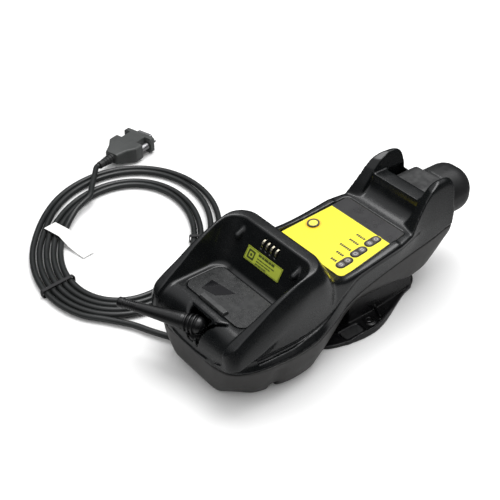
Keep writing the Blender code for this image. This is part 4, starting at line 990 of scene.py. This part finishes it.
CAD_LOOKS = {
    "plate": ("bay_floor_plate",),
    "bar": ("reader_sense_bar",),
    "overlay": ("overlay_label",),
    "lamp": ("status_lamp_lens",),
    "window": ("indicator_window_1", "indicator_window_2", "indicator_window_3"),
    "notice": ("bay_notice_label",),
    "nylon": ("contact_housing", "host_socket", "aux_socket", "power_jack", "battery_contact_block", "cable_plug",
              "plug_release_tab", "connector_insert", "charge_inductor", "beeper",
              "spare_battery_body"),
    "hood": ("connector_hood",),
    "board": ("indicator_board", "main_board", "socket_board"),
    "tin": ("radio_module", "connector_shell", "thumbscrew_1", "thumbscrew_2"),
    "steel": ("case_screw_1", "case_screw_2", "case_screw_3", "case_screw_4", "antenna_pin"),
    "gold": ("bay_contact_1", "bay_contact_2", "bay_contact_3", "bay_contact_4", "battery_terminal_1",
             "battery_terminal_2"),
    "sleeve": ("reservoir_capacitor",),
    "rubber": ("antenna_socket", "strain_relief", "rubber_foot_1", "rubber_foot_2",
               "bracket_pad_1", "bracket_pad_2"),
    "tie": ("cable_tie_1", "cable_tie_2"),
    "paper": ("paper_tag",),
}
BEVELS = {"bay_floor_plate": 0.35, "reader_sense_bar": 0.3, "cable_plug": 0.3, "connector_hood": 0.7,
          "thumbscrew_1": 0.25, "thumbscrew_2": 0.25, "bay_notice_label": 0.1, "connector_shell": 0.2}


def dress_cad():
    """Materials and softened edges for the CAD pieces that are shown as they are."""
    for key, names in CAD_LOOKS.items():
        for name in names:
            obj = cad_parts[name]
            wear_look(obj, key)
            if name in BEVELS:
                bevel = obj.modifiers.new("Bevel", "BEVEL")
                bevel.width, bevel.segments, bevel.limit_method = BEVELS[name] * MM, 3, "ANGLE"
                bevel.angle_limit = math.radians(35)
                bevel.harden_normals = False
            for polygon in obj.data.polygons:
                polygon.use_smooth = True
            split = obj.modifiers.new("Edges", "EDGE_SPLIT")
            split.split_angle = math.radians(38)


def finish_piece(obj, key, body, stands_for=()):
    wear_look(obj, key)
    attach(obj, body)
    if stands_for:
        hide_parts(*stands_for)
    return obj


# ------------------------------------------------------------------ studio
CAMERA_AT = (455.7, -419.8, 519.4)
CAMERA_AZIMUTH, CAMERA_ELEVATION = math.radians(51.75), math.radians(36.5)
CAMERA_LENS = 75.6


def build_camera():
    data = bpy.data.cameras.new("camera")
    data.lens, data.sensor_width = CAMERA_LENS, 36
    data.clip_start, data.clip_end = 0.01, 20
    obj = bpy.data.objects.new("camera", data)
    back = Vector((math.sin(CAMERA_AZIMUTH) * math.cos(CAMERA_ELEVATION),
                   -math.cos(CAMERA_AZIMUTH) * math.cos(CAMERA_ELEVATION), math.sin(CAMERA_ELEVATION)))
    obj.rotation_mode = "QUATERNION"
    obj.rotation_quaternion = (-back).to_track_quat("-Z", "Y")
    obj.location = Vector(CAMERA_AT) * MM
    bpy.context.scene.collection.objects.link(obj)
    bpy.context.scene.camera = obj


def area_light(name, place, target, size, power, colour=(1, 1, 1)):
    data = bpy.data.lights.new(name, "AREA")
    data.shape, data.size, data.size_y = "RECTANGLE", size[0], size[1]
    data.energy, data.color = power, colour
    obj = bpy.data.objects.new(name, data)
    obj.location = place
    obj.rotation_mode = "QUATERNION"
    obj.rotation_quaternion = (Vector(target) - Vector(place)).to_track_quat("-Z", "Y")
    bpy.context.scene.collection.objects.link(obj)
    return obj


def build_floor():
    bm = bmesh.new()
    bmesh.ops.create_grid(bm, x_segments=1, y_segments=1, size=4.0)
    floor = mesh_piece("floor", bm, smooth=False)
    floor.location = (0, 0, -0.0003)
    n = Nodes("pale_floor")
    distance = n.add("ShaderNodeVectorMath", operation="LENGTH")
    n.link(n.place, distance.inputs[0])
    glossy = n.add("ShaderNodeLightPath").outputs["Is Glossy Ray"]
    far = n.ramp(distance.outputs["Value"], 0.12, 0.34)
    paper = n.mix(n.ramp(n.noise(3, 2), 0.3, 0.7), (0.93, 0.93, 0.93), (0.95, 0.95, 0.948))
    # Floor colour seen only in reflections: a painted pool of light near the cradle, fading to dark further off.
    painted_floor_reflection = n.mix(far, (0.42, 0.42, 0.42), (0.015, 0.015, 0.016))
    n.feed(n.shader.inputs["Base Color"], n.mix(glossy, paper, painted_floor_reflection))
    n.feed(n.shader.inputs["Roughness"], n.ramp(n.noise(40), 0.3, 0.7, 0.6, 0.75))
    n.feed(n.shader.inputs["Normal"], n.bump(n.noise(500), 0.05, 0.0001))
    floor.data.materials.append(n.mat)


def build_world():
    """White surround for the eye and for soft fill; reflections see a dark room with a bright ceiling."""
    world = bpy.data.worlds.new("studio")
    bpy.context.scene.world = world
    world.use_nodes = True
    tree = world.node_tree
    tree.nodes.clear()
    out = tree.nodes.new("ShaderNodeOutputWorld")
    place = tree.nodes.new("ShaderNodeTexCoord")
    split = tree.nodes.new("ShaderNodeSeparateXYZ")
    tree.links.new(place.outputs["Generated"], split.inputs[0])
    ramp = tree.nodes.new("ShaderNodeValToRGB")
    tree.links.new(split.outputs["Z"], ramp.inputs["Fac"])
    stops = ((0.0, 0.006), (0.40, 0.008), (0.54, 0.2), (0.68, 0.6), (0.85, 0.9), (1.0, 0.95))
    for _ in stops[2:]:
        ramp.color_ramp.elements.new(0.5)
    for element, (at, value) in zip(ramp.color_ramp.elements, stops):
        element.position, element.color = at, (value, value, value * 1.02, 1)
    room = tree.nodes.new("ShaderNodeBackground")
    tree.links.new(ramp.outputs["Color"], room.inputs["Color"])
    white = tree.nodes.new("ShaderNodeBackground")
    white.inputs["Color"].default_value = (1, 1, 1, 1)
    white.inputs["Strength"].default_value = 0.85
    paths = tree.nodes.new("ShaderNodeLightPath")
    mix = tree.nodes.new("ShaderNodeMixShader")
    tree.links.new(paths.outputs["Is Glossy Ray"], mix.inputs["Fac"])
    tree.links.new(white.outputs[0], mix.inputs[1])
    tree.links.new(room.outputs[0], mix.inputs[2])
    tree.links.new(mix.outputs[0], out.inputs["Surface"])


def build_studio():
    build_floor()
    build_world()
    area_light("softbox", (-0.15, 0.25, 1.1), (0, 0, 0.03), (1.0, 0.8), 11)
    build_camera()
    bpy.context.scene.view_settings.view_transform = "Standard"


# ------------------------------------------------------------------ assembly
def build_skins():
    b = Block((-57.5, -120, 27), (57.5, 119.5, 101))
    finish_piece(skin(b, upper_field(b), "upper_moulding"), "shell", "cradle", ["upper_shell"])
    b = Block((-57.5, -120, -1), (57.5, 119.5, 56))
    finish_piece(skin(b, lower_field(b), "lower_moulding"), "base", "cradle", ["lower_shell"])
    b = Block((-47, -24, -1), (47, 97, 27), 0.7)
    finish_piece(skin(b, bracket_field(b), "bracket_moulding"), "bracket", "bracket", ["mounting_bracket"])
    b = Block((-22, 116, 41), (22, 154, 85), 0.7)
    finish_piece(skin(b, cap_field(b), "battery_end_cap"), "rubber", "spare_battery", ["spare_battery_cap"])


INKS = {"label_yellow_field": "yellow", "label_grey_field": "grey_ink", "label_captions": "black_ink",
        "lamp_bezel": "overlay", "window_discs": "disc_ink", "window_icons": "icon_ink",
        "bay_sight_window": "sight"}


def main():
    build_skins()
    whip, turret = build_antenna()
    finish_piece(whip, "whip", "antenna", ["antenna_whip"])
    finish_piece(turret, "whip", "antenna_base", ["antenna_knuckle"])
    finish_piece(tube("cable_run", flowing(cable_path()), CABLE_R), "jacket", "cradle", ["host_cable"])
    dress_cad()
    for name, obj in build_prints().items():
        finish_piece(obj, INKS[name], "cradle")
    finish_piece(build_notice_print(), "notice_ink", "cradle")
    build_studio()


main()
